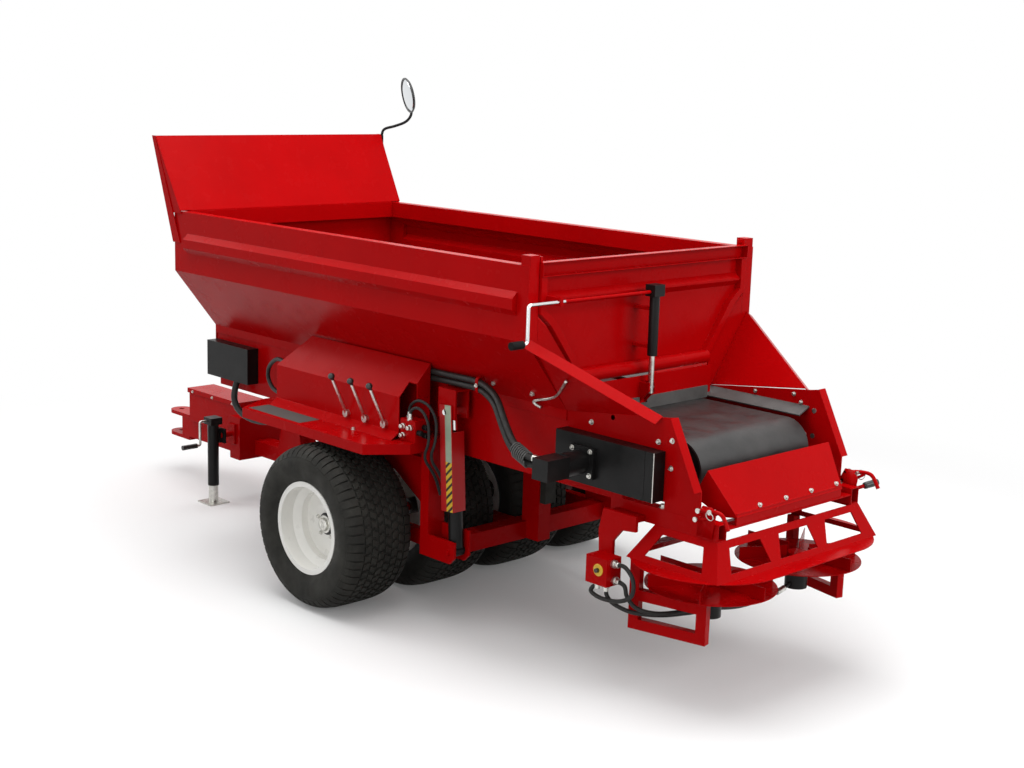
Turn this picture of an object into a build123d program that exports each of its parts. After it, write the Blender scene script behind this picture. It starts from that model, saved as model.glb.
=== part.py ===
from build123d import *
from math import cos, hypot, radians, sin, tan
import os

# Towed topdresser: +X towards the hitch, +Y left, +Z up, millimetres.
# The origin lies on the ground under the middle of the whole machine.
os.makedirs("parts", exist_ok=True)

# Clearances
turn_gap = 0.3
slide_gap = 0.3
move_gap = 6

# Reach from the axle line
hitch_reach = 2490
spinner_back = 1770
disc_radius = 256
disc_half_gap = 23
disc_y = disc_radius + disc_half_gap
guard_end_lap = 55
guard_side_lap = 46
guard_half_length = disc_y + disc_radius + guard_end_lap
guard_half_width = disc_radius + guard_side_lap
rear_reach = spinner_back + guard_half_width
axle_x = (rear_reach - hitch_reach) / 2

# Wheels: four turf tyres side by side in one line
tyre_radius = 368
tyre_half_width = 178
tyre_crown_half = 128
crown_drop = 3
tyre_wall = 12
bead_half = 150
bead_radius = 190
flange_radius = 208
rim_sheet = 5
well_radius = 165
well_half = 62
disc_offset = 40
disc_sheet = 8
hub_hole_radius = 46
hub_radius = 44
hub_flange = 118
hub_flange_thick = 12
cap_radius = 27
cap_reach = 61
spindle_radius = 22
outer_wheel_y = 733
inner_wheel_y = 238
wheel_z = tyre_radius

# Walking axles
pivot_y = (outer_wheel_y + inner_wheel_y) / 2
axle_block_half = 30
axle_block_length = 110
pivot_pin_radius = 18
fork_plate = 12
fork_gap = 3
hub_inner_reach = 70

# Chassis
beam_half = 50
beam_bottom = 255
beam_top = 335
beam_wall = 14
beam_front_reach = 1606
beam_front = axle_x + beam_front_reach
cross_rear_reach = 520
cross_rear = axle_x - cross_rear_reach
cross_front_reach = 440
cross_front = axle_x - cross_front_reach
cross_bottom = 290
cross_top = 370
arm_half = 20
tower_plate = 10
cross_wall = 6
tower_y = 475
tower_outer_y = 568
tower_front_reach = 398
tower_front = axle_x - tower_front_reach
tower_rear_reach = 625
tower_rear = axle_x - tower_rear_reach
tower_post = 52
rail_plate_top = 700
rail_plate_front_reach = 360
rail_plate_front = axle_x + rail_plate_front_reach
rail_plate_low = 600
buffer_reach = 575
buffer_x = axle_x - buffer_reach
buffer_top = 630
buffer_half = 38

# Drawbar and hitch
cross_member_half = 150
cross_member_front_reach = 1700
cross_member_front = axle_x + cross_member_front_reach
cross_member_bottom = 235
cross_member_top = 470
tongue_half = 60
tongue_bottom = 232
tongue_top = 340
hitch_throat = 98
tongue_wall = 18
ear_plate = 20
ear_half = 62
ear_lap = 80
hitch_hole_radius = 16
hitch_hole_x = axle_x + hitch_reach - ear_half
tongue_front = hitch_hole_x - hitch_throat
ear_rear = tongue_front - ear_lap
tool_box_setback = 112
tool_box_front = tongue_front - tool_box_setback
tool_box_rear = cross_member_front + 19
tool_box_half = 80
tool_box_top = 530
tool_box_sheet = 6
lid_lap = 8
lid_drop = 26

# Parking jack
jack_reach = 1690
jack_x = axle_x + jack_reach
jack_y = 265
jack_tube_radius = 30
jack_tube_wall = 4
jack_tube_bottom = 100
jack_head_bottom = 440
jack_head_top = 478
jack_leg_radius = jack_tube_radius - jack_tube_wall - slide_gap
jack_foot_half = 62
jack_foot_plate = 8
jack_pivot_z = 375
jack_pin_radius = 14
jack_collar_half = 38
jack_collar_thick = 10
crank_radius = 7

# Deck, cover and levers on the left
deck_top = 805
deck_lip = 45
deck_sheet = 5
deck_bracket = 40
deck_front_reach = 560
deck_front = axle_x + deck_front_reach
deck_front_inner_reach = 665
deck_front_inner = axle_x + deck_front_inner_reach
deck_pad_front_reach = 540
deck_pad_front = axle_x + deck_pad_front_reach
deck_pad_rear_reach = 150
deck_pad_rear = axle_x + deck_pad_rear_reach
deck_pad_inner_y = 706
deck_pad_outer_y = 815
deck_pad_thick = 1.5
deck_rear_reach = 330
deck_rear = axle_x - deck_rear_reach
deck_outer_y = 838
deck_inner_y = 455
deck_chamfer_y = 676
deck_chamfer_rear_reach = 450
deck_chamfer_rear = axle_x - deck_chamfer_rear_reach
cover_front_reach = 545
cover_front = axle_x + cover_front_reach
cover_rear_reach = 400
cover_rear = axle_x - cover_rear_reach
cover_outer_y = 656
cover_wall_top = 990
cover_inner_y = 528
cover_top = 1130
cover_sheet = 4
cover_flange = 44
cover_step = 30
cover_rake = 105
notch_length = 52
notch_top = 985
notch_y = 600
lever_offsets = (4, -130, -260)
lever_base_z = 857
lever_knob_y = 750
lever_knob_z = 1033
lever_radius = 7
knob_radius = 15
valve_front_reach = 354
valve_front = axle_x - valve_front_reach
valve_rear_reach = 452
valve_rear = axle_x - valve_rear_reach
valve_y_low = 585
valve_y_high = 652
valve_top = 900

# Hopper
sheet = 5
hopper_half = 689
hopper_front_reach = 1361
hopper_front = axle_x + hopper_front_reach
hopper_rear_reach = 1146
hopper_rear = axle_x - hopper_rear_reach
hopper_top = 1640
knee_z = 1343
throat_half = 450
throat_z = 1049
throat_lap = 40
rail_drop = 80
rail_depth = 48
swage_top = 1535
swage_bottom = 1440
swage_out = 26
post_size = 50
post_top = 1679
swage_inset = 110

# Front extension
extension_top_reach = 1496
extension_top_x = axle_x + extension_top_reach
extension_flare = 21
extension_top_half = hopper_half + extension_flare
extension_top_z = 1999
extension_foot_reach = 1300
extension_foot_x = axle_x + extension_foot_reach
extension_foot_z = hopper_top + sheet
extension_flange_top = 28
extension_flange_foot_reach = 1374
extension_flange_foot_x = axle_x + extension_flange_foot_reach
extension_flange_foot_z = 1485
mirror_radius = 100
mirror_reach = 1367
mirror_x = axle_x + mirror_reach
mirror_side_reach = 95
mirror_y = -extension_top_half - mirror_side_reach
mirror_z = 2217
mirror_turn = 21
mirror_depth = 22
mirror_arm_radius = 8

# Conveyor
roller_radius = 105
belt_thick = 8
belt_half = 340
front_roller_reach = 1200
front_roller_x = axle_x + front_roller_reach
rear_roller_reach = 1640
rear_roller_x = axle_x - rear_roller_reach
roller_z = 896
roller_wall = 5
roller_short = 4
roller_end_disc = 12
shaft_radius = 25
conveyor_bottom = 788
conveyor_sheet = 6
frame_rail_wide = 50
rail_wall = 4
cross_tube_half = 40
cross_tube_top = 764
frame_rail_bottom = 745
guard_shell = 4
conveyor_rear_reach = 1672
conveyor_rear = axle_x - conveyor_rear_reach
conveyor_rear_top = 1114
skirt_low_y = 378
skirt_sheet = 6
belt_top = roller_z + roller_radius + belt_thick
guard_outer_y = 515
front_guard_rear_reach = 994
front_guard_rear = axle_x + front_guard_rear_reach
front_guard_front_reach = 1352
front_guard_front = axle_x + front_guard_front_reach
front_guard_bottom = 800
front_guard_top = 978
chain_case_front_reach = 1150
chain_case_front = axle_x - chain_case_front_reach
chain_case_rear_reach = 1620
chain_case_rear = axle_x - chain_case_rear_reach
chain_case_bottom = 792
chain_case_top = 985
motor_station = 1310
motor_x = axle_x - motor_station
motor_z = 885
motor_radius = 48
motor_flange_half = 62
motor_flange_thick = 20
motor_reach = 640
motor_block_half = 42
motor_end = 760
drive_hose_radius = 13
valve_hose_radius = 6.5

# Rear wings and discharge plates
wing_top_y = 670
wing_top_z = 1355
wing_tip_reach = 1644
wing_tip_x = axle_x - wing_tip_reach
wing_tip_y = 452
wing_fold = 42
wing_fold_slope = 0.6
wing_sheet = 4
discharge_top_reach = 1714
discharge_top_x = axle_x - discharge_top_reach
discharge_top_z = 1122
discharge_low_reach = 1845
discharge_low_x = axle_x - discharge_low_reach
discharge_low_z = 864
discharge_flange = 38

# Tailgate and its gate
tailgate_reach = 1128
tailgate_x = axle_x - tailgate_reach
tailgate_half = hopper_half - sheet - post_size - 3
gate_sheet = 3
gate_knee_inset = 122
gate_knee_half = hopper_half - gate_knee_inset
gate_knee_z = 1398
gate_foot_inset = 37
gate_foot_half = throat_half - gate_foot_inset
gate_foot_z = 1195
gate_tube_radius = 29
gate_tube_z = 1181
gate_tube_half = 400
gate_tube_reach = 1145
gate_tube_x = axle_x - gate_tube_reach
hinge_z = hopper_top + 22
hinge_pin_radius = 7
ridge_z = 1500
ridge_out = 24
ridge_flat = 8
ridge_sheet = 3
side_rail_depth = 30
gate_plate_thick = 6
gate_plate_half = 398
gate_plate_bottom = 1030
gate_plate_top = 1150
gate_seal_bottom = belt_top + 1
gate_seal_top = 1062
gate_seal_thick = 8
gate_travel = 110
gate_jack_reach = 1225
gate_jack_x = axle_x - gate_jack_reach
gate_jack_y = 45
gate_jack_radius = 21
gate_jack_bottom = 1241
gate_jack_top = 1487
gate_head_top = 1535
gate_rod_radius = 12
gate_lug_top = 1128
crank_z = 1506
crank_bearing_inset = 41
crank_bearing_thick = 12
crank_bearing_y = tailgate_half - crank_bearing_inset
crank_bend_y = 764
crank_grip_z = 1358
crank_grip_end = 830
grip_radius = 16

# Hopper lift: pivot at the front, a cylinder on each side
lift_pivot_reach = 1280
lift_pivot_x = axle_x + lift_pivot_reach
lift_pivot_z = 640
lift_pin_radius = 20
lift_lug_half = 72
lift_lug_plate = 12
cylinder_y = 521
cylinder_base_reach = 584
cylinder_base_x = axle_x - cylinder_base_reach
cylinder_base_z = 339
cylinder_top_reach = 546
cylinder_top_x = axle_x - cylinder_top_reach
cylinder_top_z = 948
cylinder_pin_radius = 12
barrel_radius = 32
barrel_wall = 5
barrel_start = 34
barrel_end = 505
gland_length = 40
rod_radius = 17
rod_start = 36
piston_length = 34
eye_radius = 24
eye_half = 30
lug_plate = 8
lug_gap = 1
open_eye_gap = 2.5
lift_lug_drop = 28
lift_lug_reach = 55
lift_lug_top = throat_z - 1
prop_start = 180
prop_end = 525
prop_half = 38
prop_sheet = 4
prop_depth = 70

# Spinner attachment
spinner_rail_bottom = 690
spinner_rail_top = 757
spinner_rail_front_reach = 1400
spinner_rail_front = axle_x - spinner_rail_front_reach
spinner_rail_overhang = 165
spinner_rail_rear = axle_x - spinner_back - spinner_rail_overhang
spinner_rail_half = 450
spinner_rail_wide = 50
guard_x = axle_x - spinner_back
guard_z = 553
guard_sheet = 3
guard_brim = 78
truss_front_reach = 140
truss_front = guard_x + truss_front_reach
disc_set_back = 10
disc_x = guard_x - disc_set_back
disc_z = 456
disc_plate = 3
blade_height = 52
blade_count = 6
blade_thick = 3
disc_hub_radius = 42
motor_can_radius = 46
motor_can_bottom = 330
motor_can_top = 436
motor_shaft_radius = 16
leg_bottom = 278
leg_top = 437
leg_tube = 42
leg_wall = 3
leg_front_reach = 197
leg_front_inset = 88
leg_front_x = guard_x + leg_front_reach
leg_front_y = guard_half_length - leg_front_inset
leg_depth = 34
leg_rear_reach = 125
leg_rear_inset = 160
leg_rear_x = guard_x - leg_rear_reach
leg_rear_y = guard_half_length - leg_rear_inset
chute_top_back = 48
chute_top_x = guard_x - chute_top_back
chute_top_half = 382
chute_top_z = 931
chute_low_back = 162
chute_low_x = guard_x - chute_low_back
chute_low_half = 334
chute_low_z = 765
chute_sheet = 3
valve_arm_y = 500
valve_arm_thick = 14
flow_valve_reach = 1485
flow_valve_x = axle_x - flow_valve_reach
flow_valve_z = 494
flow_valve_half = 40


def block(x_ends, y_ends, z_ends, mode=Mode.ADD):
    """A rectangular solid between two limits along each axis."""
    middle = [(low + high) / 2 for low, high in (x_ends, y_ends, z_ends)]
    with Locations(tuple(middle)):
        Box(
            x_ends[1] - x_ends[0],
            y_ends[1] - y_ends[0],
            z_ends[1] - z_ends[0],
            mode=mode,
        )


def plate_along_y(outline, y_low, y_high, mode=Mode.ADD):
    """A flat plate with an (x, z) outline, from one y to the other."""
    with BuildSketch(Plane.XZ.offset(-y_low)) as face:
        with BuildLine():
            Polyline(*outline, close=True)
        make_face()
    extrude(to_extrude=face.sketch, amount=y_low - y_high, mode=mode)


def plate_along_x(outline, x_low, x_high, mode=Mode.ADD):
    """A flat plate with a (y, z) outline, from one x to the other."""
    with BuildSketch(Plane.YZ.offset(x_low)) as face:
        with BuildLine():
            Polyline(*outline, close=True)
        make_face()
    extrude(to_extrude=face.sketch, amount=x_high - x_low, mode=mode)


def plate_along_z(outline, z_low, z_high, mode=Mode.ADD):
    """A flat plate with an (x, y) outline, from one z to the other."""
    with BuildSketch(Plane.XY.offset(z_low)) as face:
        with BuildLine():
            Polyline(*outline, close=True)
        make_face()
    extrude(to_extrude=face.sketch, amount=z_high - z_low, mode=mode)


def plate_through(corners, thickness, towards):
    """A flat plate with one face through its corners and its thickness on one side."""
    first, second, third = (Vector(*corner) for corner in corners[:3])
    normal = (second - first).cross(third - first)
    flat = Plane(origin=first, x_dir=second - first, z_dir=normal)
    flattened = [flat.to_local_coords(Vector(*corner)) for corner in corners]
    with BuildSketch(flat) as face:
        with BuildLine():
            Polyline(*[(point.X, point.Y) for point in flattened], close=True)
        make_face()
    same_way = flat.z_dir.dot(Vector(*towards)) > 0
    extrude(to_extrude=face.sketch, amount=thickness if same_way else -thickness)


def bar(start, end, radius, mode=Mode.ADD):
    """A round bar between two points."""
    start, end = Vector(*start), Vector(*end)
    with BuildSketch(Plane(origin=start, z_dir=end - start)) as face:
        Circle(radius)
    extrude(to_extrude=face.sketch, amount=(end - start).length, mode=mode)


def bent_rod(points, bend, radius):
    """A round rod along straight runs joined by bends of one radius."""
    with BuildLine() as route:
        FilletPolyline(*points, radius=bend)
    with BuildSketch(Plane(origin=route.line @ 0, z_dir=route.line % 0)) as face:
        Circle(radius)
    sweep(sections=face.sketch, path=route.line)


def hose(points, radius):
    """A hose along straight runs joined by arcs as large as the runs allow."""
    points = [Vector(*point) for point in points]
    runs = [after - before for before, after in zip(points, points[1:])]
    bends = []
    for before, after in zip(runs, runs[1:]):
        half_turn = radians(before.get_angle(after)) / 2
        bends.append(0.45 * min(before.length, after.length) / tan(half_turn))
    print("hose bends", [round(bend) for bend in bends])
    with BuildLine() as route:
        FilletPolyline(*points, radius=bends)
    with BuildSketch(Plane(origin=route.line @ 0, z_dir=route.line % 0)) as face:
        Circle(radius)
    sweep(sections=face.sketch, path=route.line)


def bent_sheet(points, thickness):
    """The outline of a bent sheet: its points, then their offset to the left."""
    offset_line = []
    for index, point in enumerate(points):
        normals = []
        for near, far in ((index - 1, index), (index, index + 1)):
            if near >= 0 and far < len(points):
                run = (points[far][0] - points[near][0], points[far][1] - points[near][1])
                length = hypot(*run)
                normals.append((-run[1] / length, run[0] / length))
        across = sum(normal[0] for normal in normals)
        up = sum(normal[1] for normal in normals)
        scale = thickness * len(normals) / (across**2 + up**2)
        offset_line.append((point[0] + across * scale, point[1] + up * scale))
    return points + offset_line[::-1]


# Tyres and rims
wheels = (
    ("1", outer_wheel_y, 1),
    ("2", inner_wheel_y, -1),
    ("3", -inner_wheel_y, 1),
    ("4", -outer_wheel_y, -1),
)
for number, wheel_y, outboard in wheels:
    spin = Axis((axle_x, wheel_y, wheel_z), (0, 1, 0))
    section = Plane(
        origin=(axle_x, wheel_y, wheel_z), x_dir=(0, outboard, 0), z_dir=(outboard, 0, 0)
    )
    inside = tyre_wall + 3
    with BuildPart() as tyre:
        with BuildSketch(section):
            with BuildLine():
                right = Polyline(
                    (bead_half - turn_gap, bead_radius + turn_gap),
                    (bead_half - turn_gap, flange_radius + 4),
                )
                wall = ThreePointArc(
                    right @ 1,
                    (tyre_half_width, 0.5 * (flange_radius + tyre_radius)),
                    (tyre_half_width - 18, tyre_radius - 24),
                )
                shoulder = ThreePointArc(
                    wall @ 1,
                    (tyre_crown_half + 18, tyre_radius - 9),
                    (tyre_crown_half, tyre_radius - crown_drop),
                )
                crown = ThreePointArc(
                    shoulder @ 1,
                    (0, tyre_radius),
                    (-tyre_crown_half, tyre_radius - crown_drop),
                )
                left_shoulder = ThreePointArc(
                    crown @ 1,
                    (-tyre_crown_half - 18, tyre_radius - 9),
                    (18 - tyre_half_width, tyre_radius - 24),
                )
                left_wall = ThreePointArc(
                    left_shoulder @ 1,
                    (-tyre_half_width, 0.5 * (flange_radius + tyre_radius)),
                    (turn_gap - bead_half, flange_radius + 4),
                )
                Polyline(
                    left_wall @ 1,
                    (turn_gap - bead_half, bead_radius + turn_gap),
                    (inside - bead_half, bead_radius + turn_gap),
                    (inside - tyre_half_width, 0.5 * (flange_radius + tyre_radius)),
                    (inside - tyre_crown_half, tyre_radius - 26),
                    (tyre_crown_half - inside, tyre_radius - 26),
                    (tyre_half_width - inside, 0.5 * (flange_radius + tyre_radius)),
                    (bead_half - inside, bead_radius + turn_gap),
                    right @ 0,
                )
            make_face()
        revolve(axis=spin)
    tyre.part.label = f"tyre_{number}"
    export_step(tyre.part, f"parts/tyre_{number}.step")

    with BuildPart() as rim:
        with BuildSketch(section):
            with BuildLine():
                Polyline(
                    (bead_half + rim_sheet, flange_radius),
                    (bead_half, flange_radius),
                    (bead_half, bead_radius),
                    (well_half + 30, bead_radius),
                    (well_half, well_radius),
                    (-well_half, well_radius),
                    (-well_half - 30, bead_radius),
                    (-bead_half, bead_radius),
                    (-bead_half, flange_radius),
                    (-bead_half - rim_sheet, flange_radius),
                    (-bead_half - rim_sheet, bead_radius - rim_sheet),
                    (-well_half - 28, bead_radius - rim_sheet),
                    (-well_half + 2, well_radius - rim_sheet),
                    (disc_offset - 22, well_radius - rim_sheet),
                    (disc_offset - 8, hub_flange * 0.75),
                    (disc_offset - disc_sheet, hub_hole_radius),
                    (disc_offset, hub_hole_radius),
                    (disc_offset, hub_flange * 0.75),
                    (disc_offset - 12, well_radius - rim_sheet),
                    (well_half - 2, well_radius - rim_sheet),
                    (well_half + 28, bead_radius - rim_sheet),
                    (bead_half + rim_sheet, bead_radius - rim_sheet),
                    close=True,
                )
            make_face()
        revolve(axis=spin)
        # Hub, its square flange behind the disc and its cap
        hub_back = -hub_inner_reach
        with BuildSketch(section) as hub_half:
            with BuildLine():
                Polyline(
                    (hub_back, spindle_radius + turn_gap),
                    (hub_back, hub_radius - 6),
                    (disc_offset - disc_sheet - hub_flange_thick, hub_radius - 6),
                    (disc_offset - disc_sheet, hub_radius),
                    (disc_offset + 8, hub_radius),
                    (disc_offset + 8, cap_radius),
                    (cap_reach, cap_radius - 3),
                    (cap_reach, 0),
                    (cap_reach - 6, 0),
                    (cap_reach - 6, spindle_radius + turn_gap),
                    close=True,
                )
            make_face()
        revolve(profiles=hub_half.sketch, axis=spin)
        face_plane = Plane(
            origin=(axle_x, wheel_y, wheel_z), x_dir=(1, 0, 0), z_dir=(0, outboard, 0)
        )
        with BuildSketch(face_plane.offset(disc_offset - disc_sheet)) as square:
            RectangleRounded(hub_flange, hub_flange, 18)
            Circle(hub_radius - 6, mode=Mode.SUBTRACT)
        extrude(to_extrude=square.sketch, amount=-hub_flange_thick)
    rim.part.label = f"rim_{number}"
    export_step(rim.part, f"parts/rim_{number}.step")

# Walking axles: a block between each pair of wheels, rocking about a fore-and-aft pin
block_half_x = axle_block_length / 2
with BuildPart() as walking_axles:
    for side in (1, -1):
        with Locations((axle_x, side * pivot_y, wheel_z)):
            Box(axle_block_length, 2 * axle_block_half, 2 * axle_block_half + 44)
        outer_end = outer_wheel_y + cap_reach - 8
        inner_end = inner_wheel_y - cap_reach + 8
        bar(
            (axle_x, side * inner_end, wheel_z),
            (axle_x, side * outer_end, wheel_z),
            spindle_radius,
        )
        bar(
            (axle_x - block_half_x, side * pivot_y, wheel_z),
            (axle_x + block_half_x, side * pivot_y, wheel_z),
            pivot_pin_radius + turn_gap,
            mode=Mode.SUBTRACT,
        )
walking_axles.part.label = "walking_axles"
export_step(walking_axles.part, "parts/walking_axles.step")

# Cross-beam, fork arms, towers and longitudinal plates
fork_x = block_half_x + fork_gap
fork_top = wheel_z + axle_block_half + 22 + 8
ear_inner_y = tower_y + tower_plate
with BuildPart() as axle_frame:
    block(
        (cross_rear, cross_front), (-tower_y, tower_y), (cross_bottom, cross_top)
    )
    block(
        (cross_rear + cross_wall, cross_front - cross_wall),
        (-tower_y, tower_y),
        (cross_bottom + cross_wall, cross_top - cross_wall),
        mode=Mode.SUBTRACT,
    )
    for side in (1, -1):
        inner, outer = sorted((side * (pivot_y - arm_half), side * (pivot_y + arm_half)))
        block(
            (cross_front, axle_x - fork_x - fork_plate),
            (inner, outer),
            (cross_bottom + 12, cross_top),
        )
        for x_low in (axle_x - fork_x - fork_plate, axle_x + fork_x):
            with Locations((x_low + fork_plate / 2, side * pivot_y, (300 + fork_top) / 2)):
                Box(fork_plate, 2 * axle_block_half, fork_top - 300)
        with Locations((axle_x, side * pivot_y, fork_top + fork_plate / 2)):
            Box(2 * (fork_x + fork_plate), 2 * axle_block_half, fork_plate)
        bar(
            (axle_x - fork_x, side * pivot_y, wheel_z),
            (axle_x + fork_x, side * pivot_y, wheel_z),
            pivot_pin_radius,
        )
        # Tower side plate with its triangular forward wing under the deck
        inner, outer = sorted((side * tower_y, side * ear_inner_y))
        plate_along_y(
            [
                (tower_rear + 30, cross_bottom),
                (tower_front, cross_bottom),
                (tower_front, 430),
                (axle_x - 120, rail_plate_low),
                (rail_plate_front, rail_plate_low + 40),
                (rail_plate_front, rail_plate_top),
                (tower_front - tower_post, rail_plate_top),
                (tower_front - tower_post, cross_top + 60),
                (tower_rear, cross_top + 60),
                (tower_rear, cross_bottom + 30),
            ],
            inner,
            outer,
        )
        # Outer ear for the cylinder's base pin
        inner, outer = sorted((side * (tower_outer_y - tower_plate), side * tower_outer_y))
        plate_along_y(
            [
                (tower_rear + 30, cross_bottom),
                (tower_front, cross_bottom),
                (tower_front, cross_top + 20),
                (tower_rear, cross_top + 20),
                (tower_rear, cross_bottom + 30),
            ],
            inner,
            outer,
        )
        # Tower post
        inner, outer = sorted((side * ear_inner_y, side * tower_outer_y))
        block(
            (tower_front - tower_post, tower_front),
            (inner, outer),
            (cross_bottom, deck_top - deck_lip),
        )
        inner, outer = sorted((side * ear_inner_y, side * (tower_outer_y - tower_plate)))
        block(
            (tower_front - tower_post + tower_plate, tower_front - tower_plate),
            (inner, outer),
            (cross_bottom - 1, deck_top - deck_lip + 1),
            mode=Mode.SUBTRACT,
        )
        # Base pin of the lift cylinder
        bar(
            (cylinder_base_x, side * ear_inner_y, cylinder_base_z),
            (cylinder_base_x, side * (tower_outer_y + 8), cylinder_base_z),
            cylinder_pin_radius,
        )
    # Buffer post on the cross-beam
    post_rear = buffer_x - 20
    post_front = cross_rear
    plate_along_x(
        [
            (-buffer_half, cross_top),
            (buffer_half, cross_top),
            (buffer_half, buffer_top),
            (-buffer_half, buffer_top),
        ],
        post_rear,
        post_rear + 8,
    )
    for side in (1, -1):
        inner, outer = sorted((side * (buffer_half - 8), side * buffer_half))
        block((post_rear + 8, post_front + 30), (inner, outer), (cross_top, buffer_top))
    block((post_rear, post_front), (-buffer_half, buffer_half), (cross_bottom, cross_top))
axle_frame.part.label = "axle_frame"
export_step(axle_frame.part, "parts/axle_frame.step")

with BuildPart() as buffer_rubber:
    block(
        (post_rear - 34, post_rear), (-buffer_half + 6, buffer_half - 6), (470, 625)
    )
buffer_rubber.part.label = "buffer_rubber"
export_step(buffer_rubber.part, "parts/buffer_rubber.step")

# Central beam with the lift pivot's pedestal
with BuildPart() as drawbar_beam:
    block((cross_front, beam_front), (-beam_half, beam_half), (beam_bottom, beam_top))
    block(
        (cross_front, beam_front),
        (-beam_half + beam_wall, beam_half - beam_wall),
        (beam_bottom + beam_wall, beam_top - beam_wall),
        mode=Mode.SUBTRACT,
    )
    for side in (1, -1):
        inner, outer = sorted((side * (beam_half - 12), side * beam_half))
        with BuildSketch(Plane.XZ.offset(-outer)) as cheek:
            with BuildLine():
                Polyline(
                    (lift_pivot_x - 110, beam_top),
                    (lift_pivot_x + 110, beam_top),
                    (lift_pivot_x + 34, lift_pivot_z),
                    (lift_pivot_x - 34, lift_pivot_z),
                    close=True,
                )
            make_face()
            with Locations((lift_pivot_x, lift_pivot_z)):
                Circle(36)
        extrude(to_extrude=cheek.sketch, amount=outer - inner)
    bar(
        (lift_pivot_x, -lift_lug_half - 8, lift_pivot_z),
        (lift_pivot_x, lift_lug_half + 8, lift_pivot_z),
        lift_pin_radius,
    )
drawbar_beam.part.label = "drawbar_beam"
export_step(drawbar_beam.part, "parts/drawbar_beam.step")

# Cross member, tongue and its tool box
with BuildPart() as tongue:
    block(
        (beam_front, cross_member_front),
        (-cross_member_half, cross_member_half),
        (cross_member_bottom, cross_member_top),
    )
    block(
        (beam_front + tongue_wall, cross_member_front - tongue_wall),
        (tongue_wall - cross_member_half, cross_member_half - tongue_wall),
        (cross_member_bottom + tongue_wall, cross_member_top - tongue_wall),
        mode=Mode.SUBTRACT,
    )
    block(
        (cross_member_front, tongue_front),
        (-tongue_half, tongue_half),
        (tongue_bottom, tongue_top),
    )
    block(
        (cross_member_front, tongue_front - tongue_wall),
        (-tongue_half + tongue_wall, tongue_half - tongue_wall),
        (tongue_bottom + tongue_wall, tongue_top - tongue_wall),
        mode=Mode.SUBTRACT,
    )
    # Two hitch ears, above and below the tongue
    for z_low in (tongue_bottom - ear_plate, tongue_top):
        with BuildSketch(Plane.XY.offset(z_low)) as ear:
            with BuildLine():
                Polyline(
                    (ear_rear, -ear_half),
                    (hitch_hole_x, -ear_half),
                    (hitch_hole_x, ear_half),
                    (ear_rear, ear_half),
                    close=True,
                )
            make_face()
            with Locations((hitch_hole_x, 0)):
                Circle(ear_half)
                Circle(hitch_hole_radius, mode=Mode.SUBTRACT)
        extrude(to_extrude=ear.sketch, amount=ear_plate)
tongue.part.label = "tongue"
export_step(tongue.part, "parts/tongue.step")

with BuildPart() as tool_box:
    block(
        (tool_box_rear, tool_box_front),
        (-tool_box_half, tool_box_half),
        (tongue_top, tool_box_top),
    )
    block(
        (tool_box_rear - lid_lap, tool_box_front + lid_lap),
        (-tool_box_half - lid_lap, tool_box_half + lid_lap),
        (tool_box_top - lid_drop, tool_box_top),
    )
    block(
        (tool_box_rear + tool_box_sheet, tool_box_front - tool_box_sheet),
        (-tool_box_half + tool_box_sheet, tool_box_half - tool_box_sheet),
        (tongue_top + tool_box_sheet, tool_box_top - tool_box_sheet),
        mode=Mode.SUBTRACT,
    )
tool_box.part.label = "tool_box"
export_step(tool_box.part, "parts/tool_box.step")

# Parking jack on a swivel pin
with BuildPart() as jack_mount:
    bar(
        (jack_x - 20, cross_member_half, jack_pivot_z),
        (jack_x - 20, jack_y - jack_collar_half, jack_pivot_z),
        jack_pin_radius,
    )
    with Locations((jack_x - 20, cross_member_half + 6, jack_pivot_z)):
        Box(60, 12, 110)
jack_mount.part.label = "jack_mount"
export_step(jack_mount.part, "parts/jack_mount.step")

with BuildPart() as jack_tube:
    bar((jack_x, jack_y, jack_tube_bottom), (jack_x, jack_y, jack_head_bottom), jack_tube_radius)
    with Locations((jack_x, jack_y, (jack_head_bottom + jack_head_top) / 2)):
        Box(72, 72, jack_head_top - jack_head_bottom)
    bar(
        (jack_x, jack_y, jack_tube_bottom),
        (jack_x, jack_y, jack_head_bottom),
        jack_tube_radius - jack_tube_wall,
        mode=Mode.SUBTRACT,
    )
    collar_low = jack_y - jack_collar_half
    block(
        (jack_x - 20 - 34, jack_x - 20 + 34),
        (collar_low - jack_collar_thick, collar_low),
        (jack_pivot_z - 40, jack_pivot_z + 40),
    )
    block(
        (jack_x - 20, jack_x + 20),
        (collar_low, jack_y - jack_tube_radius + 6),
        (jack_pivot_z - 40, jack_pivot_z + 40),
    )
    bar(
        (jack_x, jack_y, jack_pivot_z - 41),
        (jack_x, jack_y, jack_pivot_z + 41),
        jack_tube_radius - jack_tube_wall,
        mode=Mode.SUBTRACT,
    )
    bar(
        (jack_x - 20, collar_low - jack_collar_thick, jack_pivot_z),
        (jack_x - 20, collar_low, jack_pivot_z),
        jack_pin_radius + turn_gap,
        mode=Mode.SUBTRACT,
    )
jack_tube.part.label = "jack_tube"
export_step(jack_tube.part, "parts/jack_tube.step")

with BuildPart() as jack_foot:
    bar((jack_x, jack_y, jack_foot_plate), (jack_x, jack_y, jack_head_bottom - 60), jack_leg_radius)
    with Locations((jack_x, jack_y, jack_foot_plate / 2)):
        Box(2 * jack_foot_half, 2 * jack_foot_half, jack_foot_plate)
jack_foot.part.label = "jack_foot"
export_step(jack_foot.part, "parts/jack_foot.step")

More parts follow.
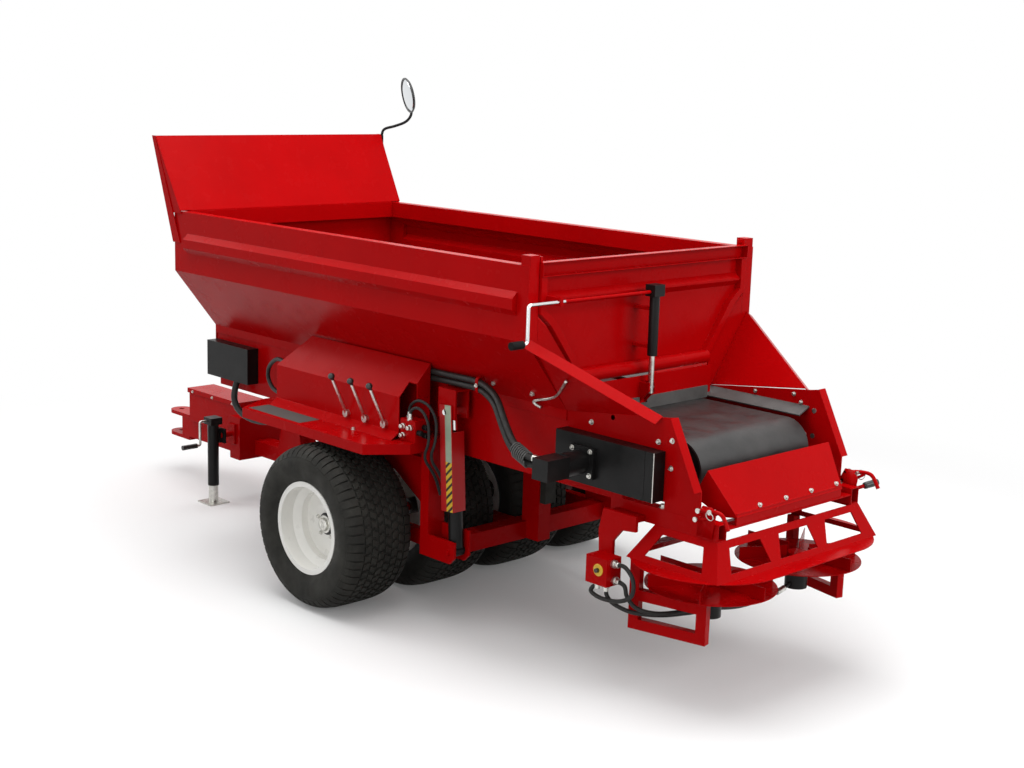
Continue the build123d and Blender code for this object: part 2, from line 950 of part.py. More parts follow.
with BuildPart() as jack_crank:
    crank_side = jack_y + 36
    bent_rod(
        [
            (jack_x + 10, crank_side, jack_head_bottom + 19),
            (jack_x + 10, crank_side + 40, jack_head_bottom + 19),
            (jack_x + 10, crank_side + 40, jack_head_bottom - 110),
            (jack_x + 10, crank_side + 60, jack_head_bottom - 110),
        ],
        9,
        crank_radius,
    )
    bar(
        (jack_x + 10, crank_side + 60, jack_head_bottom - 110),
        (jack_x + 10, crank_side + 150, jack_head_bottom - 110),
        13,
    )
jack_crank.part.label = "jack_crank"
export_step(jack_crank.part, "parts/jack_crank.step")

# Control deck: a folded plate on a bracket from the longitudinal plate, with a grip pad
with BuildPart() as control_deck:
    plate_along_z(
        [
            (deck_front_inner, deck_inner_y),
            (deck_front_inner, cover_outer_y),
            (deck_front, deck_outer_y),
            (deck_rear, deck_outer_y),
            (deck_chamfer_rear, deck_chamfer_y),
            (deck_chamfer_rear, deck_inner_y),
        ],
        deck_top - deck_lip,
        deck_top,
    )
    deck_foot = control_deck.faces().sort_by(Axis.Z)[0]
    offset(amount=-deck_sheet, openings=deck_foot)
    block(
        (deck_pad_rear, deck_pad_front),
        (deck_pad_inner_y, deck_pad_outer_y),
        (deck_top, deck_top + deck_pad_thick),
    )
    block(
        (tower_front, deck_front),
        (ear_inner_y, ear_inner_y + deck_sheet),
        (rail_plate_top, deck_top - deck_sheet),
    )
    block(
        (tower_front, deck_front),
        (ear_inner_y, ear_inner_y + deck_bracket),
        (rail_plate_top, rail_plate_top + deck_sheet),
    )
control_deck.part.label = "control_deck"
export_step(control_deck.part, "parts/control_deck.step")

# Valve cover: sloping roof, raked front end, bolted foot flange, a notch for the valves
with BuildPart() as valve_cover:
    plate_along_x(
        [
            (cover_inner_y, deck_top),
            (cover_outer_y + cover_flange, deck_top),
            (cover_outer_y, deck_top + cover_step),
            (cover_outer_y, cover_wall_top),
            (cover_inner_y, cover_top),
        ],
        cover_rear,
        cover_front,
    )
    plate_along_y(
        [
            (cover_front, cover_wall_top),
            (cover_front - cover_rake, cover_top),
            (cover_front, cover_top),
        ],
        cover_inner_y,
        cover_outer_y,
        mode=Mode.SUBTRACT,
    )
    cover_foot = valve_cover.faces().sort_by(Axis.Z)[0]
    offset(amount=-cover_sheet, openings=cover_foot)
    notch_span = (cover_rear, cover_rear + notch_length)
    block(
        notch_span,
        (cover_inner_y + cover_sheet, cover_outer_y + cover_flange),
        (deck_top, notch_top),
        mode=Mode.SUBTRACT,
    )
    block(
        notch_span,
        (notch_y, cover_outer_y + cover_flange),
        (notch_top, cover_top),
        mode=Mode.SUBTRACT,
    )
valve_cover.part.label = "valve_cover"
export_step(valve_cover.part, "parts/valve_cover.step")

with BuildPart() as control_levers:
    for offset_x in lever_offsets:
        lever_x = axle_x + offset_x
        with Locations((lever_x, cover_outer_y + 9, lever_base_z)):
            Cylinder(17, 18, rotation=(90, 0, 0))
        bar(
            (lever_x, cover_outer_y + 10, lever_base_z),
            (lever_x, lever_knob_y, lever_knob_z),
            lever_radius,
        )
        with Locations((lever_x, lever_knob_y, lever_knob_z)):
            Sphere(knob_radius)
control_levers.part.label = "control_levers"
export_step(control_levers.part, "parts/control_levers.step")

with BuildPart() as valve_block:
    block((valve_rear, valve_front), (valve_y_low, valve_y_high), (deck_top, valve_top))
valve_block.part.label = "valve_block"
export_step(valve_block.part, "parts/valve_block.step")

# Hopper sides: rail, swage, knee and throat, bent from one sheet each
swage_front = hopper_front - swage_inset
swage_rear = hopper_rear + post_size + 12
lower_line = [
    (throat_half + sheet, throat_z - throat_lap),
    (throat_half + sheet, throat_z),
    (hopper_half, knee_z),
]
swage_line = [
    (hopper_half, swage_bottom),
    (hopper_half + swage_out, swage_bottom + swage_out),
    (hopper_half + swage_out, swage_top - swage_out),
    (hopper_half, swage_top),
]
rail_line = [
    (hopper_half, hopper_top),
    (hopper_half - rail_depth, hopper_top),
    (hopper_half - rail_depth, hopper_top - rail_drop),
]
side_sections = (
    (hopper_rear, swage_rear, lower_line + rail_line[:1]),
    (swage_rear, swage_front, lower_line + swage_line + rail_line),
    (swage_front, hopper_front, lower_line + rail_line),
)
for name, side in (("left", 1), ("right", -1)):
    with BuildPart() as hopper_side:
        for x_low, x_high, line in side_sections:
            outline = [(side * y, z) for y, z in bent_sheet(line, sheet)]
            plate_along_x(outline, x_low, x_high)
    hopper_side.part.label = f"hopper_side_{name}"
    export_step(hopper_side.part, f"parts/hopper_side_{name}.step")

# Front wall across the ends of the sides, with its top rail
rail_half = hopper_half - rail_depth - 1
with BuildPart() as front_wall:
    plate_along_x(
        [
            (-hopper_half, hopper_top),
            (-hopper_half, knee_z),
            (-throat_half - sheet, throat_z),
            (-throat_half - sheet, conveyor_bottom),
            (throat_half + sheet, conveyor_bottom),
            (throat_half + sheet, throat_z),
            (hopper_half, knee_z),
            (hopper_half, hopper_top),
        ],
        hopper_front,
        hopper_front + sheet,
    )
    plate_along_y(
        bent_sheet(
            [
                (hopper_front, hopper_top - sheet),
                (extension_foot_x, hopper_top - sheet),
                (extension_foot_x, hopper_top - rail_drop),
            ],
            -sheet,
        ),
        -rail_half,
        rail_half,
    )
front_wall.part.label = "hopper_front"
export_step(front_wall.part, "parts/hopper_front.step")

# Sloping front extension with its side flanges, standing on the front rail
with BuildPart() as front_extension:
    flange_low_y = hopper_half + 0.5
    rise = (extension_foot_z - extension_flange_foot_z) / (
        extension_top_z - extension_flange_foot_z
    )
    foot_half = flange_low_y + (extension_top_half - flange_low_y) * rise
    lap = sheet / 2
    plate_through(
        [
            (extension_foot_x, foot_half + lap, extension_foot_z),
            (extension_foot_x, -foot_half - lap, extension_foot_z),
            (extension_top_x, -extension_top_half - lap, extension_top_z),
            (extension_top_x, extension_top_half + lap, extension_top_z),
        ],
        sheet,
        (1, 0, -1),
    )
    for side in (1, -1):
        plate_through(
            [
                (extension_flange_foot_x, side * flange_low_y, extension_flange_foot_z),
                (extension_foot_x + 12, side * flange_low_y, extension_flange_foot_z),
                (extension_top_x, side * extension_top_half, extension_top_z),
                (
                    extension_top_x + extension_flange_top,
                    side * extension_top_half,
                    extension_top_z,
                ),
            ],
            sheet,
            (0, side, 0),
        )
    block(
        (extension_foot_x, extension_foot_x + 52),
        (-rail_half, rail_half),
        (hopper_top, hopper_top + sheet),
    )
front_extension.part.label = "front_extension"
export_step(front_extension.part, "parts/front_extension.step")

# Round mirror on a bent arm at the right-hand top corner
mirror_normal = Vector(cos(radians(mirror_turn)), sin(radians(mirror_turn)), 0)
mirror_centre = Vector(mirror_x, mirror_y, mirror_z)
arm_y = -extension_top_half - sheet - 6
arm_x = extension_top_x + 6
behind = mirror_centre - mirror_normal * 48
with BuildPart() as mirror_arm:
    block(
        (arm_x - 12, arm_x + 12),
        (-extension_top_half - sheet - 12, -extension_top_half - sheet),
        (extension_top_z - 62, extension_top_z - 9),
    )
    bent_rod(
        [
            (arm_x, arm_y - mirror_arm_radius, extension_top_z - 50),
            (arm_x, arm_y - mirror_arm_radius, extension_top_z + 22),
            (behind.X, behind.Y, extension_top_z + 63),
            tuple(behind),
            tuple(mirror_centre - mirror_normal * 14),
        ],
        26,
        mirror_arm_radius,
    )
mirror_arm.part.label = "mirror_arm"
export_step(mirror_arm.part, "parts/mirror_arm.step")

with BuildPart() as mirror_head:
    back = Plane(origin=mirror_centre - mirror_normal * 14, z_dir=mirror_normal)
    with BuildSketch(back) as dish:
        Circle(mirror_radius)
    extrude(to_extrude=dish.sketch, amount=mirror_depth)
    chamfer(mirror_head.faces().sort_by(Axis.X)[0].edges(), length=9)
mirror_head.part.label = "mirror"
export_step(mirror_head.part, "parts/mirror.step")

# Rear corner posts
with BuildPart() as rear_posts:
    for side in (1, -1):
        inner, outer = sorted((side * (hopper_half - sheet - post_size), side * (hopper_half - sheet)))
        block((hopper_rear, hopper_rear + post_size), (inner, outer), (knee_z + sheet, post_top))
        block(
            (hopper_rear + 4, hopper_rear + post_size - 4),
            (inner + 4, outer - 4),
            (knee_z + sheet, post_top - 4),
            mode=Mode.SUBTRACT,
        )
    # Rear frame that fills the corners beside the tailgate's slanting edges
    frame_front = hopper_rear + sheet
    for side in (1, -1):
        corner = [
            (hopper_half - sheet - 1, knee_z + sheet + 1),
            (throat_half + 1, throat_z + sheet + 1),
            (gate_foot_half + move_gap, throat_z + sheet + 1),
            (gate_foot_half + move_gap, gate_foot_z - 2),
            (gate_knee_half + move_gap + 6, gate_knee_z - 6),
            (hopper_half - sheet - post_size - 1, knee_z + 90),
            (hopper_half - sheet - post_size - 1, knee_z + sheet + 1),
        ]
        plate_along_x([(side * y, z) for y, z in corner], hopper_rear, frame_front)
    # Hinge pins of the tailgate
    for side in (1, -1):
        bar(
            (tailgate_x, side * (tailgate_half - 18), hinge_z),
            (tailgate_x, side * (hopper_half - sheet - post_size), hinge_z),
            hinge_pin_radius,
        )
rear_posts.part.label = "rear_posts"
export_step(rear_posts.part, "parts/rear_posts.step")

# Tailgate: ribbed panel, slanting side rails and a round bottom tube
with BuildPart() as tailgate:
    panel = [
        (-tailgate_half, hopper_top),
        (-tailgate_half, knee_z + 110),
        (-gate_knee_half, gate_knee_z),
        (-gate_foot_half, gate_foot_z),
        (gate_foot_half, gate_foot_z),
        (gate_knee_half, gate_knee_z),
        (tailgate_half, knee_z + 110),
        (tailgate_half, hopper_top),
    ]
    plate_along_x(panel, tailgate_x, tailgate_x + gate_sheet)
    # Top channel and the bent ridge half way up
    ridge_half = tailgate_half - 8
    block(
        (tailgate_x - 36, tailgate_x),
        (-tailgate_half, tailgate_half),
        (hopper_top - 44, hopper_top + 12),
    )
    block(
        (tailgate_x - 36, tailgate_x - gate_sheet),
        (-tailgate_half + gate_sheet, tailgate_half - gate_sheet),
        (hopper_top - 44 + gate_sheet, hopper_top + 12 - gate_sheet),
        mode=Mode.SUBTRACT,
    )
    ridge = [
        (tailgate_x, ridge_z - ridge_out),
        (tailgate_x - ridge_out, ridge_z),
        (tailgate_x - ridge_out, ridge_z + ridge_flat),
        (tailgate_x, ridge_z + ridge_flat + ridge_out),
    ]
    plate_along_y(bent_sheet(ridge, -ridge_sheet), -ridge_half, ridge_half)
    # Slanting side rails, standing proud of the panel
    for side in (1, -1):
        rail = [
            (gate_knee_half, gate_knee_z),
            (gate_foot_half, gate_foot_z),
            (gate_foot_half - 34, gate_foot_z),
            (gate_knee_half - 30, gate_knee_z + 14),
            (tailgate_half - 32, knee_z + 120),
            (tailgate_half - 32, hopper_top - 44),
            (tailgate_half, hopper_top - 44),
            (tailgate_half, knee_z + 110),
        ]
        with BuildSketch(Plane.YZ.offset(tailgate_x - side_rail_depth)) as rail_face:
            with BuildLine():
                Polyline(*[(side * y, z) for y, z in rail], close=True)
            make_face()
        extrude(to_extrude=rail_face.sketch, amount=side_rail_depth)
        with BuildSketch(Plane.YZ.offset(tailgate_x - side_rail_depth + gate_sheet)) as rail_bore:
            with BuildLine():
                Polyline(*[(side * y, z) for y, z in rail], close=True)
            make_face()
            offset(amount=-gate_sheet, kind=Kind.INTERSECTION)
        extrude(
            to_extrude=rail_bore.sketch,
            amount=side_rail_depth - gate_sheet,
            mode=Mode.SUBTRACT,
        )
    bar(
        (gate_tube_x, -gate_tube_half, gate_tube_z),
        (gate_tube_x, gate_tube_half, gate_tube_z),
        gate_tube_radius,
    )
    bar(
        (gate_tube_x, -gate_tube_half, gate_tube_z),
        (gate_tube_x, gate_tube_half, gate_tube_z),
        gate_tube_radius - 4,
        mode=Mode.SUBTRACT,
    )
    # Hinge ears on the top channel
    for side in (1, -1):
        inner, outer = sorted((side * (tailgate_half - 12), side * tailgate_half))
        block(
            (tailgate_x - 20, tailgate_x + 20),
            (inner, outer),
            (hopper_top + 8, hopper_top + 34),
        )
        bar(
            (tailgate_x, side * (tailgate_half - 14), hinge_z),
            (tailgate_x, side * (tailgate_half + 2), hinge_z),
            hinge_pin_radius + turn_gap,
            mode=Mode.SUBTRACT,
        )
    # Standoff arms that carry the gate jack
    for z_low in (gate_jack_top - 60, gate_jack_bottom + 30):
        block(
            (gate_jack_x + gate_jack_radius - 6, tailgate_x),
            (gate_jack_y - 16, gate_jack_y + 16),
            (z_low, z_low + 12),
        )
        bar(
            (gate_jack_x, gate_jack_y, z_low),
            (gate_jack_x, gate_jack_y, z_low + 12),
            gate_jack_radius,
            mode=Mode.SUBTRACT,
        )
    # Crank shaft bearing
    block(
        (gate_jack_x - 12, tailgate_x),
        (crank_bearing_y, crank_bearing_y + crank_bearing_thick),
        (crank_z - 16, crank_z + 16),
    )
    bar(
        (gate_jack_x, crank_bearing_y - 1, crank_z),
        (gate_jack_x, crank_bearing_y + crank_bearing_thick + 1, crank_z),
        crank_radius + turn_gap,
        mode=Mode.SUBTRACT,
    )
tailgate.part.label = "tailgate"
export_step(tailgate.part, "parts/tailgate.step")

# Gate jack with its gear head, and the crank that turns it
with BuildPart() as gate_jack:
    bar(
        (gate_jack_x, gate_jack_y, gate_jack_bottom),
        (gate_jack_x, gate_jack_y, gate_jack_top),
        gate_jack_radius,
    )
    with Locations((gate_jack_x, gate_jack_y, (gate_jack_top + gate_head_top) / 2)):
        Box(52, 62, gate_head_top - gate_jack_top)
    bar(
        (gate_jack_x, gate_jack_y, gate_jack_bottom),
        (gate_jack_x, gate_jack_y, gate_jack_top),
        gate_rod_radius + slide_gap,
        mode=Mode.SUBTRACT,
    )
gate_jack.part.label = "gate_jack"
export_step(gate_jack.part, "parts/gate_jack.step")

with BuildPart() as gate_crank:
    crank_start = (gate_jack_x, gate_jack_y + 31, crank_z)
    bent_rod(
        [
            crank_start,
            (gate_jack_x, crank_bend_y, crank_z),
            (gate_jack_x, crank_bend_y, crank_grip_z),
            (gate_jack_x, crank_bend_y + 26, crank_grip_z),
        ],
        14,
        crank_radius,
    )
    bar(
        (gate_jack_x, crank_bend_y + 26, crank_grip_z),
        (gate_jack_x, crank_grip_end + 20, crank_grip_z),
        grip_radius,
    )
gate_crank.part.label = "gate_crank"
export_step(gate_crank.part, "parts/gate_crank.step")

# Lower gate, its lip and its rod
gate_plate_x = gate_tube_x - gate_tube_radius - 2
with BuildPart() as gate_plate:
    block(
        (gate_plate_x - gate_plate_thick, gate_plate_x),
        (-gate_plate_half, gate_plate_half),
        (gate_plate_bottom, gate_plate_top),
    )
    for y_low in (gate_jack_y - 22, gate_jack_y + 14):
        plate_along_y(
            [
                (gate_plate_x - gate_plate_thick, gate_plate_bottom + 8),
                (gate_plate_x - gate_plate_thick, gate_lug_top),
                (gate_jack_x - 10, gate_lug_top),
                (gate_jack_x - 10, gate_lug_top - 34),
            ],
            y_low,
            y_low + 8,
        )
gate_plate.part.label = "gate_plate"
export_step(gate_plate.part, "parts/gate_plate.step")

gate_seal_half = skirt_low_y - move_gap
with BuildPart() as gate_seal:
    block(
        (gate_plate_x - gate_plate_thick - gate_seal_thick, gate_plate_x - gate_plate_thick),
        (-gate_seal_half, gate_jack_y - 24),
        (gate_seal_bottom, gate_seal_top),
    )
    block(
        (gate_plate_x - gate_plate_thick - gate_seal_thick, gate_plate_x - gate_plate_thick),
        (gate_jack_y + 24, gate_seal_half),
        (gate_seal_bottom, gate_seal_top),
    )
    block(
        (gate_plate_x - gate_plate_thick - gate_seal_thick, gate_plate_x - gate_plate_thick),
        (gate_jack_y - 24, gate_jack_y + 24),
        (gate_seal_bottom, gate_plate_bottom + 6),
    )
gate_seal.part.label = "gate_seal"
export_step(gate_seal.part, "parts/gate_seal.step")

with BuildPart() as gate_rod:
    bar(
        (gate_jack_x, gate_jack_y, gate_lug_top - 44),
        (gate_jack_x, gate_jack_y, gate_jack_top - gate_travel - 20),
        gate_rod_radius,
    )
    bar(
        (gate_jack_x, gate_jack_y - 14, gate_lug_top - 20),
        (gate_jack_x, gate_jack_y + 14, gate_lug_top - 20),
        8,
    )
gate_rod.part.label = "gate_rod"
export_step(gate_rod.part, "parts/gate_rod.step")

# Conveyor bed: side plates, return flanges, cross tubes and the lift pivot's lugs
side_low = throat_half - conveyor_sheet
with BuildPart() as conveyor_sides:
    for side in (1, -1):
        inner, outer = sorted((side * side_low, side * throat_half))
        plate_along_y(
            [
                (conveyor_rear, conveyor_bottom),
                (hopper_front, conveyor_bottom),
                (hopper_front, throat_z),
                (hopper_rear, throat_z),
                (conveyor_rear, conveyor_rear_top),
            ],
            inner,
            outer,
        )
        for shaft_x in (front_roller_x, rear_roller_x):
            bar(
                (shaft_x, inner, roller_z),
                (shaft_x, outer, roller_z),
                shaft_radius + turn_gap,
                mode=Mode.SUBTRACT,
            )
        # Frame rail below each side plate
        inner, outer = sorted((side * (throat_half - frame_rail_wide), side * throat_half))
        rail_ends = (spinner_rail_front, hopper_front - 30)
        block(rail_ends, (inner, outer), (frame_rail_bottom, conveyor_bottom - 8))
        block(
            rail_ends,
            (inner + rail_wall, outer - rail_wall),
            (frame_rail_bottom + rail_wall, conveyor_bottom - 8 - rail_wall),
            mode=Mode.SUBTRACT,
        )
        inner, outer = sorted((side * side_low, side * throat_half))
        block(rail_ends, (inner, outer), (conveyor_bottom - 8, conveyor_bottom))
        # Lift pivot lug
        inner, outer = sorted((side * (lift_lug_half - lift_lug_plate), side * lift_lug_half))
        with BuildSketch(Plane.XZ.offset(-outer)) as lug:
            with BuildLine():
                Polyline(
                    (lift_pivot_x - 46, frame_rail_bottom),
                    (lift_pivot_x + 46, frame_rail_bottom),
                    (lift_pivot_x + 34, lift_pivot_z),
                    (lift_pivot_x - 34, lift_pivot_z),
                    close=True,
                )
            make_face()
            with Locations((lift_pivot_x, lift_pivot_z)):
                Circle(36)
                Circle(lift_pin_radius + turn_gap, mode=Mode.SUBTRACT)
        extrude(to_extrude=lug.sketch, amount=outer - inner)
    cross_half = throat_half - frame_rail_wide
    cross_tubes = (
        (lift_pivot_x, cross_tube_half),
        (axle_x - 540, rail_wall),
        (spinner_rail_front + cross_tube_half, rail_wall),
    )
    for cross_x, wall in cross_tubes:
        block(
            (cross_x - cross_tube_half, cross_x + cross_tube_half),
            (-cross_half, cross_half),
            (frame_rail_bottom, cross_tube_top),
        )
        if wall < cross_tube_half:
            block(
                (cross_x - cross_tube_half + wall, cross_x + cross_tube_half - wall),
                (-cross_half, cross_half),
                (frame_rail_bottom + wall, cross_tube_top - wall),
                mode=Mode.SUBTRACT,
            )
conveyor_sides.part.label = "conveyor_sides"
export_step(conveyor_sides.part, "parts/conveyor_sides.step")

# Brackets that carry the cylinders' top pins, on the throat of the hopper
with BuildPart() as lift_brackets:
    for side in (1, -1):
        lug_spans = (
            (cylinder_y - eye_half - lug_gap - lug_plate, cylinder_y - eye_half - lug_gap),
            (cylinder_y + eye_half + lug_gap, cylinder_y + eye_half + lug_gap + lug_plate),
        )
        for y_low, y_high in lug_spans:
            plate_along_x(
                [
                    (side * y_low, cylinder_top_z - lift_lug_drop),
                    (side * y_high, cylinder_top_z - lift_lug_drop),
                    (side * y_high, lift_lug_top),
                    (side * y_low, lift_lug_top),
                ],
                cylinder_top_x - lift_lug_reach,
                cylinder_top_x + lift_lug_reach,
            )
        inner, outer = sorted((side * (throat_half + sheet), side * lug_spans[1][1]))
        block(
            (cylinder_top_x - lift_lug_reach, cylinder_top_x + lift_lug_reach),
            (inner, outer),
            (lift_lug_top - lug_plate, lift_lug_top),
        )
        bar(
            (cylinder_top_x, side * (lug_spans[0][0] - 1), cylinder_top_z),
            (cylinder_top_x, side * (lug_spans[1][1] + 1), cylinder_top_z),
            cylinder_pin_radius + open_eye_gap,
            mode=Mode.SUBTRACT,
        )
lift_brackets.part.label = "lift_brackets"
export_step(lift_brackets.part, "parts/lift_brackets.step")

# Lift cylinders, each leaning from its base pin to its top pin
lean = Vector(cylinder_top_x - cylinder_base_x, 0, cylinder_top_z - cylinder_base_z)
lean_length = lean.length
prop_face = cylinder_y + eye_half + lug_gap + lug_plate + 3
along = lean / lean_length
for name, side in (("left", 1), ("right", -1)):
    base = Vector(cylinder_base_x, side * cylinder_y, cylinder_base_z)
    with BuildPart() as cylinder_barrel:
        bar(base + along * (eye_radius - 8), base + along * barrel_end, barrel_radius)
        bar(
            base + along * barrel_start,
            base + along * (barrel_end - gland_length),
            barrel_radius - barrel_wall,
            mode=Mode.SUBTRACT,
        )
        bar(
            base + along * (barrel_end - gland_length - 1),
            base + along * barrel_end,
            rod_radius + slide_gap,
            mode=Mode.SUBTRACT,
        )
        eye_span = (base.Y - eye_half, base.Y + eye_half)
        bar((base.X, eye_span[0], base.Z), (base.X, eye_span[1], base.Z), eye_radius)
        bar(
            (base.X, eye_span[0], base.Z),
            (base.X, eye_span[1], base.Z),
            cylinder_pin_radius + turn_gap,
            mode=Mode.SUBTRACT,
        )
    cylinder_barrel.part.label = f"cylinder_barrel_{name}"
    export_step(cylinder_barrel.part, f"parts/cylinder_barrel_{name}.step")

    top = base + lean
    with BuildPart() as cylinder_rod:
        bar(base + along * (rod_start + piston_length), top, rod_radius)
        bar(
            base + along * rod_start,
            base + along * (rod_start + piston_length),
            barrel_radius - barrel_wall - slide_gap,
        )
        bar((top.X, eye_span[0], top.Z), (top.X, eye_span[1], top.Z), eye_radius)
        bar(
            (top.X, side * (cylinder_y - eye_half - lug_gap - lug_plate - 5), top.Z),
            (top.X, side * (prop_face + prop_sheet + 7), top.Z),
            cylinder_pin_radius,
        )
    cylinder_rod.part.label = f"cylinder_rod_{name}"
    export_step(cylinder_rod.part, f"parts/cylinder_rod_{name}.step")

    # Safety prop: a channel that hangs from the top pin round the barrel
    with BuildPart() as safety_prop:
        prop_plane = Plane(
            origin=base + along * prop_start, x_dir=(0, side, 0), z_dir=along
        )
        web_low, web_high = prop_face - cylinder_y, prop_face - cylinder_y + prop_sheet
        with BuildSketch(prop_plane) as channel:
            with Locations(((web_low + web_high) / 2, 0)):
                Rectangle(prop_sheet, 2 * prop_half)
            for edge in (1, -1):
                with Locations(((web_high - prop_depth / 2), edge * (prop_half - prop_sheet / 2))):
                    Rectangle(prop_depth, prop_sheet)
        extrude(to_extrude=channel.sketch, amount=prop_end - prop_start)
        with BuildSketch(prop_plane) as strap:
            with Locations(((web_low + web_high) / 2, 0)):
                Rectangle(prop_sheet, 2 * prop_half)
        extrude(to_extrude=strap.sketch, amount=lean_length - prop_start + 30)
        bar(
            (top.X, side * (prop_face - 1), top.Z),
            (top.X, side * (prop_face + prop_sheet + 1), top.Z),
            cylinder_pin_radius + turn_gap,
            mode=Mode.SUBTRACT,
        )
    safety_prop.part.label = f"safety_prop_{name}"
    export_step(safety_prop.part, f"parts/safety_prop_{name}.step")

# Conveyor belt, rollers and side skirts
with BuildPart() as conveyor_belt:
    with BuildSketch(Plane.XZ.offset(-belt_half)) as loop:
        with Locations(((front_roller_x + rear_roller_x) / 2, roller_z)):
            SlotCenterToCenter(
                front_roller_x - rear_roller_x, 2 * (roller_radius + belt_thick)
            )
            SlotCenterToCenter(
                front_roller_x - rear_roller_x, 2 * roller_radius, mode=Mode.SUBTRACT
            )
    extrude(to_extrude=loop.sketch, amount=2 * belt_half)
conveyor_belt.part.label = "conveyor_belt"
export_step(conveyor_belt.part, "parts/conveyor_belt.step")

roller_half = belt_half - roller_short
with BuildPart() as conveyor_rollers:
    for shaft_x in (front_roller_x, rear_roller_x):
        bar(
            (shaft_x, -roller_half, roller_z),
            (shaft_x, roller_half, roller_z),
            roller_radius - turn_gap,
        )
        bar(
            (shaft_x, roller_end_disc - roller_half, roller_z),
            (shaft_x, roller_half - roller_end_disc, roller_z),
            roller_radius - roller_wall,
            mode=Mode.SUBTRACT,
        )
        bar((shaft_x, -throat_half, roller_z), (shaft_x, throat_half, roller_z), shaft_radius)
conveyor_rollers.part.label = "conveyor_rollers"
export_step(conveyor_rollers.part, "parts/conveyor_rollers.step")

with BuildPart() as side_skirts:
    for side in (1, -1):
        skirt = bent_sheet(
            [(skirt_low_y, belt_top + 3), (side_low, throat_z - 8)], skirt_sheet
        )
        plate_along_x([(side * y, z) for y, z in skirt], conveyor_rear, hopper_front)
side_skirts.part.label = "side_skirts"
export_step(side_skirts.part, "parts/side_skirts.step")

# Black guards: front bearing cover and rear chain case, on both sides
guard_spans = (
    (front_guard_rear, front_guard_front, front_guard_bottom, front_guard_top),
    (chain_case_rear, chain_case_front, chain_case_bottom, chain_case_top),
)
with BuildPart() as roller_guards:
    for x_low, x_high, z_low, z_high in guard_spans:
        for side in (1, -1):
            inner, outer = sorted((side * throat_half, side * guard_outer_y))
            block((x_low, x_high), (inner, outer), (z_low, z_high))
            inner, outer = sorted((side * throat_half, side * (guard_outer_y - guard_shell)))
            block(
                (x_low + guard_shell, x_high - guard_shell),
                (inner, outer),
                (z_low + guard_shell, z_high - guard_shell),
                mode=Mode.SUBTRACT,
            )
roller_guards.part.label = "roller_guards"
export_step(roller_guards.part, "parts/roller_guards.step")

# Drive motor on the left chain case
with BuildPart() as drive_motor:
    block(
        (motor_x - motor_flange_half, motor_x + motor_flange_half),
        (guard_outer_y, guard_outer_y + motor_flange_thick),
        (motor_z - motor_flange_half, motor_z + motor_flange_half),
    )
    bar(
        (motor_x, guard_outer_y + motor_flange_thick, motor_z),
        (motor_x, motor_reach, motor_z),
        motor_radius,
    )
    block(
        (motor_x - motor_block_half, motor_x + motor_block_half),
        (motor_reach, motor_end),
        (motor_z - motor_block_half, motor_z + motor_block_half),
    )
drive_motor.part.label = "drive_motor"
export_step(drive_motor.part, "parts/drive_motor.step")

# Hoses: a thick pair from behind the valve cover to the drive motor
drive_routes = (
    [
        (axle_x - 330, 508, 1064),
        (axle_x - 520, 511, 1066),
        (axle_x - 722, 533, 1076),
        (axle_x - 868, 588, 1048),
        (axle_x - 960, 632, 975),
        (axle_x - 1052, 668, 906),
        (axle_x - 1160, 692, 872),
        (motor_x + motor_block_half, 692, 872),
    ],
    [
        (axle_x - 330, 510, 1093),
        (axle_x - 520, 513, 1095),
        (axle_x - 728, 535, 1105),
        (axle_x - 884, 592, 1079),
        (axle_x - 984, 640, 1002),
        (axle_x - 1074, 676, 936),
        (axle_x - 1168, 700, 903),
        (motor_x + motor_block_half, 700, 903),
    ],
)
with BuildPart() as drive_hoses:
    for route in drive_routes:
        hose(route, drive_hose_radius)
drive_hoses.part.label = "drive_hoses"
export_step(drive_hoses.part, "parts/drive_hoses.step")

# A thinner pair from the valves over the deck's rear edge and down behind the prop
valve_routes = (
    [
        (axle_x - 372, 618, valve_top),
        (axle_x - 372, 618, 952),
        (axle_x - 425, 617, 988),
        (axle_x - 496, 612, 974),
        (axle_x - 536, 606, 915),
        (axle_x - 526, 600, 820),
        (axle_x - 480, 592, 738),
        (axle_x - 486, 526, 645),
        (axle_x - 486, 510, 560),
    ],
    [
        (axle_x - 404, 640, valve_top),
        (axle_x - 404, 640, 936),
        (axle_x - 444, 640, 962),
        (axle_x - 490, 636, 944),
        (axle_x - 514, 630, 895),
        (axle_x - 508, 622, 815),
        (axle_x - 464, 614, 740),
        (axle_x - 463, 542, 645),
        (axle_x - 463, 512, 560),
    ],
)
with BuildPart() as valve_hoses:
    for route in valve_routes:
        hose(route, valve_hose_radius)
valve_hoses.part.label = "valve_hoses"
export_step(valve_hoses.part, "parts/valve_hoses.step")

